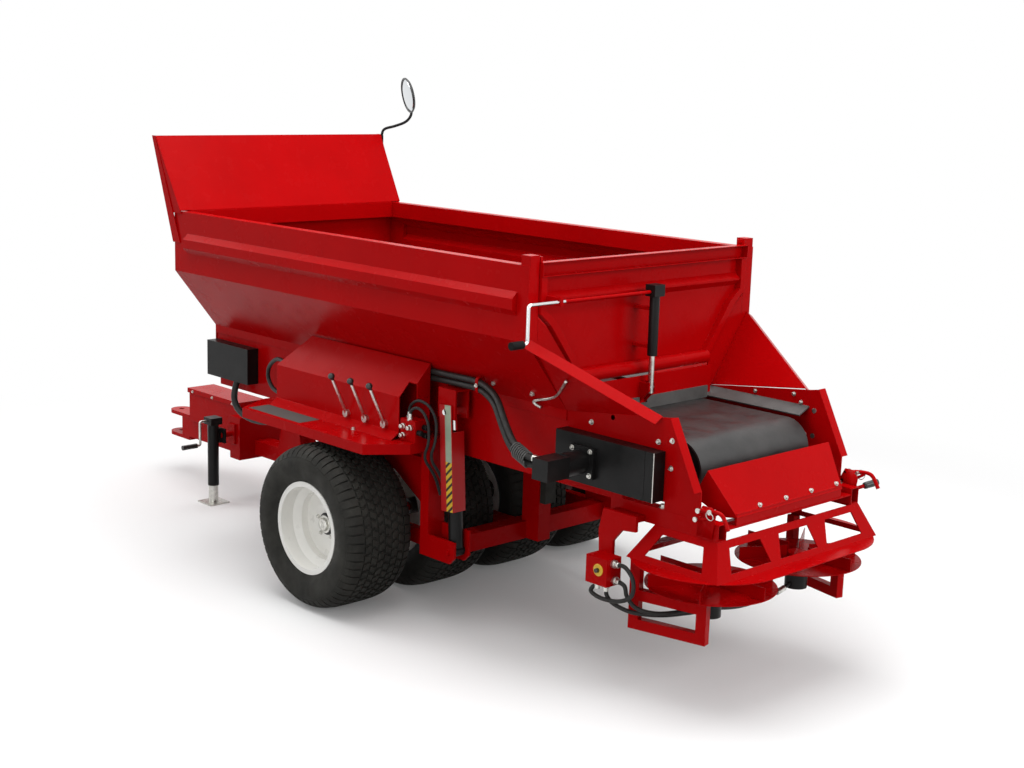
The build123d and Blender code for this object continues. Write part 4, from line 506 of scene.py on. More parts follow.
def roundProfile(radius, sides):
    # circle: (r cos a, r sin a)
    angle = np.linspace(0, fullTurn, sides, endpoint=False)
    return radius * np.stack([np.cos(angle), np.sin(angle)], -1)


def flatProfile(thick, wide):
    # rectangle, its corners counted against the clock
    return np.array([(thick, wide), (-thick, wide), (-thick, -wide), (thick, -wide)]) / 2


def carry(path, profile, closed=False):
    # profile (p, q) along a path: point + p u + q v, u in the path's plane and v square to it
    path = np.asarray(path, float)
    if closed:
        ahead = unit(np.roll(path, -1, 0) - np.roll(path, 1, 0))
    else:
        ahead = unit(np.gradient(path, axis=0))
    square = np.linalg.svd(path - path.mean(0))[2][2]
    u = unit(np.cross(ahead, square))
    v = np.cross(ahead, u)
    rings = path[:, None] + profile[None, :, :1] * u[:, None] + profile[None, :, 1:] * v[:, None]
    count = len(profile)
    faces = gridFaces(len(path), count, closed, True).tolist()
    if not closed:
        faces += endFaces(len(path), count)
    return rings.reshape(-1, 3), faces


def pipe(route, radius, steps, sides):
    # a circle carried along the curve through a route's points
    return carry(smoothPath(route, steps), roundProfile(radius, sides))


def turned(centre, axis, profile, sides, faceted=False):
    # profile (h, r) turned round an axis: centre + h axis + r (u cos a + v sin a)
    # a faceted ring is a hexagon: r cos 30 / cos of the angle from the middle of its flat
    axis = unit(axis)
    other = np.array((0.0, 0.0, 1.0)) if abs(axis[2]) < 0.9 else np.array((1.0, 0.0, 0.0))
    u = unit(np.cross(axis, other))
    v = np.cross(axis, u)
    angle = np.linspace(0, fullTurn, sides, endpoint=False)
    profile = np.asarray(profile, float)
    ring = np.cos(angle)[:, None] * u + np.sin(angle)[:, None] * v
    if faceted:
        bend = math.cos(math.pi / 6) / np.cos((angle % (math.pi / 3)) - math.pi / 6)
        ring = bend[:, None] * ring
    verts = np.asarray(centre) + profile[:, None, :1] * axis + profile[:, None, 1:] * ring[None]
    faces = gridFaces(len(profile), sides, False, True).tolist()
    return verts.reshape(-1, 3), faces + endFaces(len(profile), sides)


def turnedAt(rows, profile, sides):
    # the same turned shape at each (place, direction)
    return [turned(place, way, profile, sides) for place, way in rows]


def slab(outline, depth):
    # flat outline pushed along a vector; its order is set so that the faces look outwards
    outline = np.asarray(outline, float)
    depth = np.asarray(depth, float)
    following = np.roll(outline, -1, 0)
    if np.cross(outline, following).sum(0) @ depth < 0:
        outline = outline[::-1]
    count = len(outline)
    first = np.arange(count)
    second = (first + 1) % count
    sides = np.stack([first, second, second + count, first + count], -1).tolist()
    return np.vstack([outline, outline + depth]), sides + endFaces(2, count)


def floorPlan(near, far, inner, outer, height):
    # corners of a level rectangle between two places in x and two in y
    corners = ((near, inner), (far, inner), (far, outer), (near, outer))
    return [(x, y, height) for x, y in corners]


# Bolt: a washer, then a six-sided head with a rounded top, in shares of the washer's width
boltFacts = {
    "washer": [(-0.3, 0.5), (0.12, 0.5)],
    "head": [(0.1, 0.36), (0.42, 0.36), (0.5, 0.29)],
}


def boltShapes(places, outward, size):
    washer, head = (size * np.array(boltFacts[key]) for key in ("washer", "head"))
    shapes = []
    for place in places:
        shapes.append(turned(place, outward, washer, 20))
        shapes.append(turned(place, outward, head, 24, faceted=True))
    return shapes


# Tyres: a rounded carcass with rows of stepped tread blocks and notched shoulders
tyreFacts = {
    "around": 112,
    "crownSteps": 45,
    "wallSteps": 9,
    "sidePower": 4,
    "crownPower": 2.6,
    "wallPower": 2.2,
    "widestRadius": 0.288,
    "beadRadius": 0.206,
    "beadHalf": 0.150,
    "innerHalf": 0.130,
    "innerRadius": 0.202,
    "pitches": 56,
    "lugHeight": 0.008,
    "lugFoot": -0.004,
    "grooveWidth": 0.006,
    "rowCentres": (-0.090, -0.054, -0.018, 0.018, 0.054, 0.090),
    "blockWidth": 0.030,
    "blockStep": 0.007,
    "blockJog": 0.15,
    # share of the height and share of the width, at a block's upper edge and at its top
    "blockRings": ((0.8, 0.97), (1, 0.88)),
    "shoulderStart": 0.112,
    "shoulderEnd": 0.1735,
    "shoulderSteps": 6,
    "shoulderPower": 0.8,
    "shoulderFall": 0.55,
    "shoulderOffset": 0.25,
    "edgeDrop": 0.0015,
}
lugPitch = fullTurn / tyreFacts["pitches"]
halfLug = lugPitch / 2 - tyreFacts["grooveWidth"] / 2 / tyreRadius
crownHeight = tyreRadius - tyreFacts["lugHeight"] - tyreFacts["widestRadius"]


def carcassProfile(facts):
    # above the widest point: |y/w|^4 + |(r - r0)/h|^2.6 = 1; below it the wall curves in
    turn = np.linspace(0, math.pi, facts["crownSteps"])
    y = tyreHalfWidth * np.sign(np.cos(turn)) * np.abs(np.cos(turn)) ** (2 / facts["sidePower"])
    r = facts["widestRadius"] + crownHeight * np.abs(np.sin(turn)) ** (2 / facts["crownPower"])
    fall = np.linspace(0, 1, facts["wallSteps"])[1:]
    wallY = tyreHalfWidth - (tyreHalfWidth - facts["beadHalf"]) * fall ** facts["wallPower"]
    wallR = facts["widestRadius"] - (facts["widestRadius"] - facts["beadRadius"]) * fall
    # the ring closes through a short inner wall behind the beads
    inner = facts["innerHalf"]
    y = np.concatenate([wallY[::-1], y, -wallY, [-inner, inner]])
    r = np.concatenate([wallR[::-1], r, wallR, [facts["innerRadius"]] * 2])
    return y, r


def crownRadius(y, facts):
    # the carcass's radius at a distance y from the middle, from the same curve
    share = np.clip(1 - np.abs(y / tyreHalfWidth) ** facts["sidePower"], 0, 1)
    return facts["widestRadius"] + crownHeight * share ** (1 / facts["crownPower"])


def roundAxle(radius, angle, y):
    # point = axle + (r cos a, y, r sin a)
    radius, angle, y = np.broadcast_arrays(radius, angle, y)
    return np.stack([axleX + radius * np.cos(angle), y, axleZ + radius * np.sin(angle)], -1)


def lugFaces(loops, size, flipped):
    # one lug's faces, counted on for each lug of a row; a flipped row's corners run backwards
    starts = np.arange(tyreFacts["pitches"])[:, None, None] * size
    faces = []
    for loop in loops:
        spun = (starts + loop[None]).reshape(-1, loop.shape[-1])
        faces += (spun[:, ::-1] if flipped else spun).tolist()
    return faces


def treadRow(middleY, index, facts):
    # block outline in (angle, y): two halves side by side, one stepped ahead of the other
    halfWidth = facts["blockWidth"] / 2
    step = facts["blockStep"] / tyreRadius
    jog = facts["blockJog"] * halfWidth
    outline = np.array(
        [
            (-halfLug, -halfWidth),
            (halfLug - step, -halfWidth),
            (halfLug - step, -jog),
            (halfLug, jog),
            (halfLug, halfWidth),
            (step - halfLug, halfWidth),
            (step - halfLug, jog),
            (-halfLug, -jog),
        ]
    )
    # every other row is turned round and moved by half a pitch
    odd = index % 2
    rowY = facts["rowCentres"][index]
    places = (np.arange(facts["pitches"]) * lugPitch + 0.5 * lugPitch * odd)[:, None]
    reach = (1 if odd else -1) * outline[:, 0]
    lugY = rowY + outline[:, 1]
    base = crownRadius(lugY, facts)
    levels = [(facts["lugFoot"], 1)]
    levels += [(facts["lugHeight"] * high, wide) for high, wide in facts["blockRings"]]
    rings = []
    for lift, wide in levels:
        lateral = rowY + (lugY - rowY) * wide
        rings.append(roundAxle(base + lift, places + reach * wide, middleY + lateral))
    corners = len(outline)
    top = np.arange(corners)[None] + (len(rings) - 1) * corners
    floor = np.arange(corners)[None, ::-1]
    loops = (gridFaces(len(rings), corners, False, True), top, floor)
    return np.stack(rings, 1).reshape(-1, 3), lugFaces(loops, len(rings) * corners, odd)


def shoulderRow(middleY, side, facts):
    # patches that follow the carcass over the shoulder, with a groove between each and the next
    across = np.linspace(0, 1, facts["shoulderSteps"])
    start, end = facts["shoulderStart"], facts["shoulderEnd"]
    y = start + (end - start) * across ** facts["shoulderPower"]
    places = np.arange(facts["pitches"])[:, None] * lugPitch + facts["shoulderOffset"] * lugPitch
    low = crownRadius(y, facts) + facts["lugFoot"]
    high = crownRadius(y, facts) + facts["lugHeight"] * (1 - facts["shoulderFall"] * across**3)
    (_, edgeShare), (_, topShare) = facts["blockRings"]
    levels = [(low, 1), (high - facts["edgeDrop"], edgeShare), (high, topShare)]
    # profile round each lug: up one side from its foot to its top, and down the other
    around = [(radius, -share) for radius, share in levels] + levels[::-1]
    patch = []
    for radius, share in around:
        patch.append(roundAxle(radius, places + halfLug * share, middleY + side * y))
    count, size = len(around), len(around) * len(y)
    nearEnd = np.arange(count)[None] * len(y)
    farEnd = np.arange(count)[None, ::-1] * len(y) + len(y) - 1
    loops = (gridFaces(count, len(y), True, False), nearEnd, farEnd)
    return np.stack(patch, 1).reshape(-1, 3), lugFaces(loops, size, side > 0)


def makeTyre(name, middleY, facts, body):
    y, r = carcassProfile(facts)
    angle = np.linspace(0, fullTurn, facts["around"], endpoint=False)[:, None]
    carcass = roundAxle(r, angle, middleY + y).reshape(-1, 3)
    carcassFaces = gridFaces(len(angle), len(y), True, True)[:, ::-1].tolist()
    shapes = [(carcass, carcassFaces)]
    shapes += [treadRow(middleY, index, facts) for index in range(len(facts["rowCentres"]))]
    shapes += [shoulderRow(middleY, side, facts) for side in (1, -1)]
    verts, faces = gathered(shapes)
    rounded = np.arange(len(faces)) < len(carcassFaces)
    return putMesh(name, verts, faces, tyreRubber, body, "tyre", rounded)


for number in range(1, 5):
    low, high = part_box(f"tyre_{number}")
    tyre = makeTyre(f"tyre_tread_{number}", (low.y + high.y) / 2, tyreFacts, f"wheel_{number}")
    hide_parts(f"tyre_{number}")
print("stage: tyres")


# Hubs: stepped bright cap, wheel bolts and a valve on each rim; each wheel's y and outboard side
hubFacts = {
    "wheels": {1: (0.733, 1), 2: (0.238, -1), 3: (-0.238, 1), 4: (-0.733, -1)},
    "cap": [
        (0.046, 0.040), (0.052, 0.040), (0.053, 0.030), (0.062, 0.0285),
        (0.066, 0.025), (0.067, 0.016), (0.064, 0.010),
    ],
    "boltCircle": 0.062,
    "boltPlane": 0.040,
    "boltCount": 5,
    "boltTurn": 0.35,
    "boltWidth": 0.021,
    "valveFoot": (-0.02, 0.05, 0.150),
    "valveWay": (0.1, 1, -0.5),
    "valve": [(-0.01, 0.005), (0.024, 0.005), (0.026, 0.003), (0.034, 0.003)],
}
hubShares = np.arange(hubFacts["boltCount"]) / hubFacts["boltCount"]
hubTurns = hubShares * fullTurn + hubFacts["boltTurn"]
for number, (wheelY, outboard) in hubFacts["wheels"].items():
    centre = np.array((axleX, wheelY, axleZ))
    outward = (0, outboard, 0)
    places = roundAxle(hubFacts["boltCircle"], hubTurns, wheelY + outboard * hubFacts["boltPlane"])
    valveFoot = centre + mirrored(hubFacts["valveFoot"], outboard)
    valveWay = mirrored(hubFacts["valveWay"], outboard)
    shapes = [turned(centre, outward, hubFacts["cap"], 36)]
    shapes += boltShapes(places, outward, hubFacts["boltWidth"])
    shapes.append(turned(valveFoot, valveWay, hubFacts["valve"], 12))
    addPiece(f"hub_trim_{number}", shapes, zincPlate, f"wheel_{number}", "zinc")
print("stage: hubs")


# Mirror: convex glass in a thin black frame, turned towards the rear left
mirrorFacts = {
    "centre": (1.158, -0.805, 2.217),
    "facing": (0.37, 0.905, -0.21),
    "sides": 48,
    "frame": [
        (-0.013, 0.020), (-0.012, 0.050), (-0.006, 0.088), (0.002, 0.097),
        (0.009, 0.097), (0.011, 0.094), (0.009, 0.090), (0.004, 0.088),
    ],
    "glass": [(0.004, 0.0895), (0.0065, 0.0885), (0.0095, 0.070), (0.0115, 0.045), (0.0125, 0.018)],
    "hub": [(-0.020, 0.014), (-0.016, 0.022), (-0.008, 0.024)],
}


def facingMirror(part, sides):
    return turned(mirrorFacts["centre"], mirrorFacts["facing"], mirrorFacts[part], sides)


shapes = [facingMirror("frame", mirrorFacts["sides"])]
mirrorFrame = addPiece("mirror_frame", shapes, blackPlastic, "hopper", "black", smooth=True)
shapes = [facingMirror("glass", mirrorFacts["sides"])]
addPiece("mirror_glass", shapes, mirrorGlass, "hopper", "mirror", smooth=True)
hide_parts("mirror")

# Its stem: a foot plate on the extension, a bent tube and a hub behind the glass
stemFacts = {
    "route": [
        (1.290, -0.727, 1.952), (1.290, -0.727, 2.000), (1.275, -0.735, 2.028),
        (1.225, -0.765, 2.046), (1.178, -0.800, 2.070), (1.156, -0.820, 2.105),
        (1.150, -0.822, 2.150),
    ],
    "radius": 0.0075,
    "plate": [
        (1.272, -0.7175, 1.930), (1.308, -0.7175, 1.930),
        (1.308, -0.7175, 1.992), (1.272, -0.7175, 1.992),
    ],
    "plateDepth": (0, -0.005, 0),
}
shapes = [
    pipe(stemFacts["route"], stemFacts["radius"], steps=60, sides=14),
    slab(stemFacts["plate"], stemFacts["plateDepth"]),
    facingMirror("hub", 24),
]
mirrorStem = addPiece("mirror_stem", shapes, blackPaint, "hopper", "black")
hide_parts("mirror_arm")


# Front extension: filling sheets between the side flanges and the sloping panel
gussetFacts = {
    "corners": [
        (1.089, 0.6955, 1.630), (1.166, 0.6955, 1.630),
        (1.294, 0.7135, 1.999), (1.285, 0.7135, 1.999),
    ],
    "thick": 0.004,
}
for sideName, side in bothSides:
    corners = mirrored(gussetFacts["corners"], side)
    shapes = [slab(corners, (0, -side * gussetFacts["thick"], 0))]
    addPiece(f"extension_gusset_{sideName}", shapes, redPaint, "hopper", "red")

# End plates that close the pressed band along each side, in front and behind
bandFacts = {
    "outline": [
        (0.6835, 1.438), (0.689, 1.440), (0.7145, 1.4662),
        (0.7145, 1.5088), (0.689, 1.535), (0.6835, 1.537),
    ],
    "ends": (1.0388, -1.2928),
    "thick": 0.004,
}
for sideName, side in bothSides:
    shapes = []
    for x in bandFacts["ends"]:
        outline = [(x, side * y, z) for y, z in bandFacts["outline"]]
        shapes.append(slab(outline, (bandFacts["thick"], 0, 0)))
    addPiece(f"band_ends_{sideName}", shapes, redPaint, "hopper", "red")
print("stage: mirror and extension")


# Bolts, by the face that carries them: sides, body, outward direction, washers' width, places
# a paired group is there on the left and, mirrored, on the right
paired = (("_left", 1), ("_right", -1))
single = (("", 1),)
boltGroups = {
    "side": (
        paired, "hopper", (0, 0.782, -0.623), 0.022,
        [(-0.732, 0.495, 1.094), (-0.974, 0.500, 1.101), (-1.200, 0.496, 1.096)],
    ),
    "bed": (
        paired, "hopper", (0, 1, 0), 0.022,
        [(-1.490, 0.450, 1.026), (-1.838, 0.450, 1.014)],
    ),
    "plate": (
        paired, "hopper", (0, 1, 0), 0.022,
        [(-1.905, 0.450, 1.030), (-1.905, 0.450, 0.924)],
    ),
    "inner_right": (
        single, "hopper", (0, 1, 0), 0.020,
        [
            (-1.806, -0.444, 0.969), (-1.866, -0.444, 0.925), (-1.600, -0.444, 1.064),
            (-1.800, -0.444, 1.084), (-1.838, -0.444, 1.055),
        ],
    ),
    "inner_left": (
        single, "hopper", (0, -1, 0), 0.020,
        [(-1.806, 0.444, 0.969), (-1.866, 0.444, 0.925), (-1.600, 0.444, 1.064)],
    ),
    "chute": (
        single, "hopper", (-0.824, 0, 0.566), 0.020,
        [
            (-2.126, -0.311, 0.788), (-2.126, -0.142, 0.788),
            (-2.127, 0.023, 0.787), (-2.127, 0.187, 0.787),
        ],
    ),
    "rail": (
        paired, "hopper", (0, 0, 1), 0.030,
        [(-1.856, 0.428, 0.757), (-2.060, 0.428, 0.757)],
    ),
    "deck": (
        single, "chassis", (0, 0, 1), 0.022,
        [(0.371, 0.586, 0.805), (0.013, 0.574, 0.805), (-0.30, 0.700, 0.805)],
    ),
    "motor": (
        single, "hopper", (0, 1, 0), 0.022,
        [
            (-1.567, 0.535, 0.933), (-1.471, 0.535, 0.933),
            (-1.567, 0.535, 0.837), (-1.471, 0.535, 0.837),
        ],
    ),
    "tool_box": (
        single, "chassis", (0, 1, 0), 0.016,
        [(1.56, 0.088, 0.515), (1.76, 0.088, 0.515), (1.96, 0.088, 0.515)],
    ),
}
for group, (sides, body, outward, size, places) in boltGroups.items():
    for ending, side in sides:
        shapes = boltShapes(mirrored(places, side), mirrored(outward, side), size)
        addPiece(f"bolts_{group}{ending}", shapes, zincPlate, body, "zinc")
print("stage: bolts")


# Hose ends and the spiral wrap round the drive hoses
hoseFacts = {
    "ends": [
        ((-1.477, 0.692, 0.872), (1, 0, 0.02)),
        ((-1.477, 0.700, 0.903), (1, 0, 0.02)),
        ((-0.539, 0.508, 1.064), (-1, 0, 0)),
        ((-0.539, 0.510, 1.093), (-1, 0, 0)),
    ],
    "collar": [(-0.004, 0.019), (0.014, 0.019), (0.016, 0.0155), (0.052, 0.0155), (0.054, 0.0135)],
    "wrapStart": (-1.300, 0.678, 0.912),
    "wrapEnd": (-1.392, 0.694, 0.887),
    "wrapRadius": 0.031,
    "wrapFlat": 0.75,
    "wrapTurns": 8,
    "wrapSteps": 18,
    "wrapThick": 0.0035,
}
shapes = turnedAt(hoseFacts["ends"], hoseFacts["collar"], 24)
addPiece("hose_ends", shapes, zincPlate, "hopper", "zinc")


def wrapPath(facts):
    # helix: start + t (end - start) + r (0.75 cos a, sin a) square to the hoses
    along = np.linspace(0, 1, facts["wrapTurns"] * facts["wrapSteps"])[:, None]
    start, end = np.array(facts["wrapStart"]), np.array(facts["wrapEnd"])
    turn = along * facts["wrapTurns"] * fullTurn
    sideways = unit(np.cross(end - start, (0, 0, 1)))
    upwards = unit(np.cross(sideways, end - start))
    ring = np.cos(turn) * sideways * facts["wrapFlat"] + np.sin(turn) * upwards
    return start + (end - start) * along + facts["wrapRadius"] * ring


shapes = [carry(wrapPath(hoseFacts), roundProfile(hoseFacts["wrapThick"], 6))]
addPiece("hose_wrap", shapes, skirtRubber, "hopper", "rubber", smooth=True)

# Clamp: a band round both hoses with a lug below, and its bolt
clampFacts = {
    "centre": (-0.928, 0.534, 1.090),
    "half": (0.019, 0.034),
    "steps": 40,
    "power": 0.6,
    "wide": 0.016,
    "thick": 0.003,
    "lug": [
        (-0.936, 0.470, 1.052), (-0.936, 0.520, 1.052),
        (-0.936, 0.520, 1.058), (-0.936, 0.470, 1.058),
    ],
    "bolt": (-0.928, 0.554, 1.090),
    "boltWidth": 0.017,
}


def clampLoop(facts):
    # rounded oblong: (w |cos a|^0.6, h |sin a|^0.6), each with its sign
    turn = np.linspace(0, fullTurn, facts["steps"], endpoint=False)
    waves = np.stack([np.zeros(facts["steps"]), np.cos(turn), np.sin(turn)], -1)
    reach = np.array((0, *facts["half"]))
    return facts["centre"] + reach * np.sign(waves) * np.abs(waves) ** facts["power"]


clampBand = flatProfile(clampFacts["thick"], clampFacts["wide"])
shapes = [carry(clampLoop(clampFacts), clampBand, closed=True)]
shapes.append(slab(clampFacts["lug"], (clampFacts["wide"], 0, 0)))
addPiece("hose_clamp", shapes, redPaint, "hopper", "red")
shapes = boltShapes([clampFacts["bolt"]], (0, 1, 0), clampFacts["boltWidth"])
addPiece("clamp_bolt", shapes, zincPlate, "hopper", "zinc")
print("stage: hose ends")


# Valve block: steel unions on its outer face and top, and dark spool caps
blockFacts = {
    "unions": [
        ((-0.590, 0.652, 0.870), (0, 1, 0)),
        ((-0.635, 0.652, 0.870), (0, 1, 0)),
        ((-0.590, 0.652, 0.830), (0, 1, 0)),
        ((-0.581, 0.618, 0.900), (0, 0, 1)),
        ((-0.613, 0.640, 0.900), (0, 0, 1)),
    ],
    "union": [(-0.004, 0.013), (0.010, 0.013), (0.011, 0.0095), (0.024, 0.0095), (0.026, 0.007)],
    "caps": [
        ((-0.661, 0.605, 0.870), (-1, 0, 0)),
        ((-0.661, 0.605, 0.835), (-1, 0, 0)),
        ((-0.661, 0.635, 0.850), (-1, 0, 0)),
    ],
    "cap": [(-0.004, 0.012), (0.022, 0.012), (0.025, 0.009)],
}
shapes = turnedAt(blockFacts["unions"], blockFacts["union"], 24)
addPiece("valve_unions", shapes, zincPlate, "chassis", "zinc")
shapes = turnedAt(blockFacts["caps"], blockFacts["cap"], 24)
addPiece("valve_caps", shapes, blackPaint, "chassis", "black")

# Looms at the front: one crosses from the guard to the deck's bracket, one loops over the deck
loomFacts = {
    "crossing": [
        (0.915, 0.480, 0.815), (0.915, 0.500, 0.760), (0.905, 0.510, 0.700),
        (0.850, 0.512, 0.652), (0.750, 0.508, 0.632), (0.640, 0.500, 0.640),
        (0.540, 0.492, 0.680), (0.450, 0.490, 0.730),
    ],
    "crossingRadius": 0.016,
    "loop": [
        (0.332, 0.585, 0.960), (0.380, 0.580, 0.985), (0.470, 0.560, 0.985),
        (0.560, 0.540, 0.935), (0.585, 0.530, 0.875), (0.540, 0.535, 0.830),
        (0.460, 0.545, 0.815), (0.400, 0.550, 0.806),
    ],
    "loopRadius": 0.010,
}
shapes = [pipe(loomFacts["crossing"], loomFacts["crossingRadius"], steps=70, sides=16)]
crossing = addPiece("loom_crossing", shapes, hoseRubber, None, "rubber", smooth=True)
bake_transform(crossing)
shapes = [pipe(loomFacts["loop"], loomFacts["loopRadius"], steps=60, sides=14)]
addPiece("loom_loop", shapes, hoseRubber, "chassis", "rubber", smooth=True)

# Flow valve: dial, knob, fittings and the hoses that hang from it
flowFacts = {
    "centre": (-1.690, 0.594, 0.500),
    "dial": [(-0.002, 0.024), (0.003, 0.024), (0.004, 0.022)],
    "knob": [(0.002, 0.009), (0.016, 0.009), (0.018, 0.006)],
    "fittings": [
        ((-1.734, 0.560, 0.530), (-1, 0, 0)),
        ((-1.734, 0.552, 0.462), (-1, 0, 0)),
        ((-1.655, 0.556, 0.439), (0, 0, -1)),
        ((-1.700, 0.556, 0.439), (0, 0, -1)),
    ],
    "fitting": [(-0.004, 0.016), (0.012, 0.016), (0.013, 0.012), (0.028, 0.012), (0.030, 0.0095)],
    "sleeves": [((-1.990, -0.150, 0.330), (0, -1, 0.2))],
    "sleeve": [(0, 0.012), (0.05, 0.012), (0.052, 0.010)],
    "hoses": [
        [
            (-1.755, 0.560, 0.530), (-1.800, 0.562, 0.530), (-1.842, 0.564, 0.490),
            (-1.840, 0.566, 0.430), (-1.780, 0.568, 0.392), (-1.690, 0.568, 0.380),
            (-1.628, 0.562, 0.390), (-1.634, 0.558, 0.412), (-1.655, 0.556, 0.420),
        ],
        [
            (-1.755, 0.552, 0.462), (-1.790, 0.552, 0.452), (-1.806, 0.550, 0.410),
            (-1.850, 0.540, 0.376), (-1.910, 0.490, 0.362), (-1.960, 0.400, 0.366),
            (-1.985, 0.320, 0.374),
        ],
        [
            (-1.700, 0.556, 0.420), (-1.706, 0.556, 0.392), (-1.740, 0.550, 0.366),
            (-1.820, 0.530, 0.350), (-1.900, 0.460, 0.346), (-1.955, 0.370, 0.350),
            (-1.985, 0.315, 0.356),
        ],
        [
            (-1.989, 0.235, 0.352), (-1.991, 0.180, 0.340), (-1.992, 0.080, 0.326),
            (-1.992, -0.080, 0.324), (-1.990, -0.190, 0.340), (-1.989, -0.240, 0.352),
        ],
    ],
    "hoseRadius": 0.0085,
}
shapes = [turned(flowFacts["centre"], (0, 1, 0), flowFacts["dial"], 32)]
addPiece("flow_dial", shapes, yellowPaint, "hopper", "zinc")
shapes = [turned(flowFacts["centre"], (0, 1, 0), flowFacts["knob"], 20)]
addPiece("flow_knob", shapes, blackPlastic, "hopper", "black")
shapes = turnedAt(flowFacts["fittings"], flowFacts["fitting"], 24)
shapes += turnedAt(flowFacts["sleeves"], flowFacts["sleeve"], 20)
addPiece("flow_fittings", shapes, zincPlate, "hopper", "zinc")
shapes = [pipe(route, flowFacts["hoseRadius"], steps=64, sides=12) for route in flowFacts["hoses"]]
addPiece("flow_hoses", shapes, hoseRubber, "hopper", "rubber", smooth=True)
print("stage: flow valve")


# Latches that hold the spinner to the rails: plate, lever, link, pins and ring on both sides
latchFacts = {
    "plate": [
        (-2.050, 0.452, 0.700), (-2.120, 0.452, 0.700), (-2.132, 0.452, 0.790),
        (-2.112, 0.452, 0.818), (-2.070, 0.452, 0.818), (-2.050, 0.452, 0.780),
    ],
    "plateThick": 0.006,
    "lever": [
        (-2.075, 0.470, 0.803), (-2.130, 0.474, 0.812), (-2.170, 0.478, 0.812),
        (-2.192, 0.480, 0.796), (-2.214, 0.482, 0.758),
    ],
    "leverRadius": 0.008,
    "link": [(-2.060, 0.470, 0.770), (-2.100, 0.472, 0.776), (-2.150, 0.474, 0.806)],
    "linkRadius": 0.006,
    "pins": [(-2.070, 0.470, 0.803), (-2.060, 0.470, 0.768), (-2.125, 0.470, 0.809)],
    "pin": [(-0.018, 0.006), (0.012, 0.006), (0.013, 0.010), (0.017, 0.010)],
    "ring": (-2.128, 0.486, 0.795),
    "ringRadius": 0.016,
    "ringLean": (0, 0.3, 1),
    "ringSteps": 32,
    "ringThick": 0.0018,
}


def ringPath(facts, side):
    # circle: centre + r (x cos a + lean sin a)
    turn = np.linspace(0, fullTurn, facts["ringSteps"], endpoint=False)[:, None]
    circle = np.cos(turn) * (1, 0, 0) + np.sin(turn) * mirrored(facts["ringLean"], side)
    return mirrored(facts["ring"], side) + facts["ringRadius"] * circle


for sideName, side in bothSides:
    plate = slab(mirrored(latchFacts["plate"], side), (0, side * latchFacts["plateThick"], 0))
    lever = pipe(mirrored(latchFacts["lever"], side), latchFacts["leverRadius"], steps=40, sides=12)
    link = pipe(mirrored(latchFacts["link"], side), latchFacts["linkRadius"], steps=24, sides=10)
    addPiece(f"latch_{sideName}", [plate, lever, link], redPaint, "hopper", "red", smooth=True)
    pins = [(place, (0, side, 0)) for place in mirrored(latchFacts["pins"], side)]
    wire = roundProfile(latchFacts["ringThick"], 8)
    shapes = turnedAt(pins, latchFacts["pin"], 16)
    shapes.append(carry(ringPath(latchFacts, side), wire, closed=True))
    addPiece(f"latch_pins_{sideName}", shapes, zincPlate, "hopper", "zinc")

# Latch rod on the left wing, and the chute's handle and grip on the right
handleFacts = {
    "rod": [
        (-1.463, 0.574, 1.200), (-1.330, 0.498, 1.106), (-1.200, 0.478, 1.065),
        (-1.196, 0.474, 1.050), (-1.225, 0.470, 1.040),
    ],
    "rodRadius": 0.006,
    "handle": [(-2.100, -0.458, 0.735), (-2.118, -0.482, 0.742), (-2.130, -0.505, 0.748)],
    "handleRadius": 0.008,
    "gripFoot": (-2.130, -0.505, 0.748),
    "gripWay": (-0.4, -0.85, 0.2),
    "grip": [
        (0, 0.008), (0.002, 0.013), (0.010, 0.0145),
        (0.058, 0.0145), (0.066, 0.013), (0.068, 0.008),
    ],
}
shapes = [pipe(handleFacts["rod"], handleFacts["rodRadius"], steps=40, sides=12)]
addPiece("latch_rod", shapes, zincPlate, "hopper", "zinc", smooth=True)
shapes = [pipe(handleFacts["handle"], handleFacts["handleRadius"], steps=12, sides=12)]
addPiece("chute_handle", shapes, redPaint, "hopper", "red", smooth=True)
shapes = [turned(handleFacts["gripFoot"], handleFacts["gripWay"], handleFacts["grip"], 24)]
addPiece("chute_grip", shapes, blackPlastic, "hopper", "black", smooth=True)
print("stage: latches")


# Rear end of each chain case, with its bright edge strip
caseFacts = {
    "x": (-1.829, -1.876),
    "y": (0.452, 0.515),
    "z": (0.792, 0.985),
    "edge": 0.002,
    "stripWide": 0.004,
    "stripThick": 0.0012,
}
(near, far), (inner, outer), (bottom, top) = caseFacts["x"], caseFacts["y"], caseFacts["z"]
stripNear, stripOuter = far + caseFacts["stripWide"], outer + caseFacts["stripThick"]
height = (0, 0, top - bottom)
for sideName, side in bothSides:
    case = slab(floorPlan(near, far, side * inner, side * outer, bottom), height)
    strip = slab(floorPlan(stripNear, far, side * outer, side * stripOuter, bottom), height)
    addPiece(f"case_end_{sideName}", [case], blackPaint, "hopper", "black", edge=caseFacts["edge"])
    addPiece(f"case_strip_{sideName}", [strip], zincPlate, "hopper", "zinc")
print("stage: chain cases")


# Floor, light and backdrop
stageFacts = {
    "floorHalf": 40.0,
    "floorColour": (0.86, 0.86, 0.86),
    "skyTop": 0.62,
    "skyLow": 0.30,
    "skySpan": (-0.1, 0.9),
    "clearRadius": 2.6,
    "fadeRadius": 4.6,
    "bounceColour": (0.36, 0.36, 0.36),
    "shadowLift": 0.08,
}


def seenDirectly(finish):
    # 1 for what the camera, gloss and glass see, 0 for light on its way to a surface
    rays = addNode(finish, "ShaderNodeLightPath").outputs
    gloss = mathOf(finish, "MAXIMUM", rays["Is Camera Ray"], rays["Is Glossy Ray"])
    return mathOf(finish, "MAXIMUM", gloss, rays["Is Transmission Ray"])


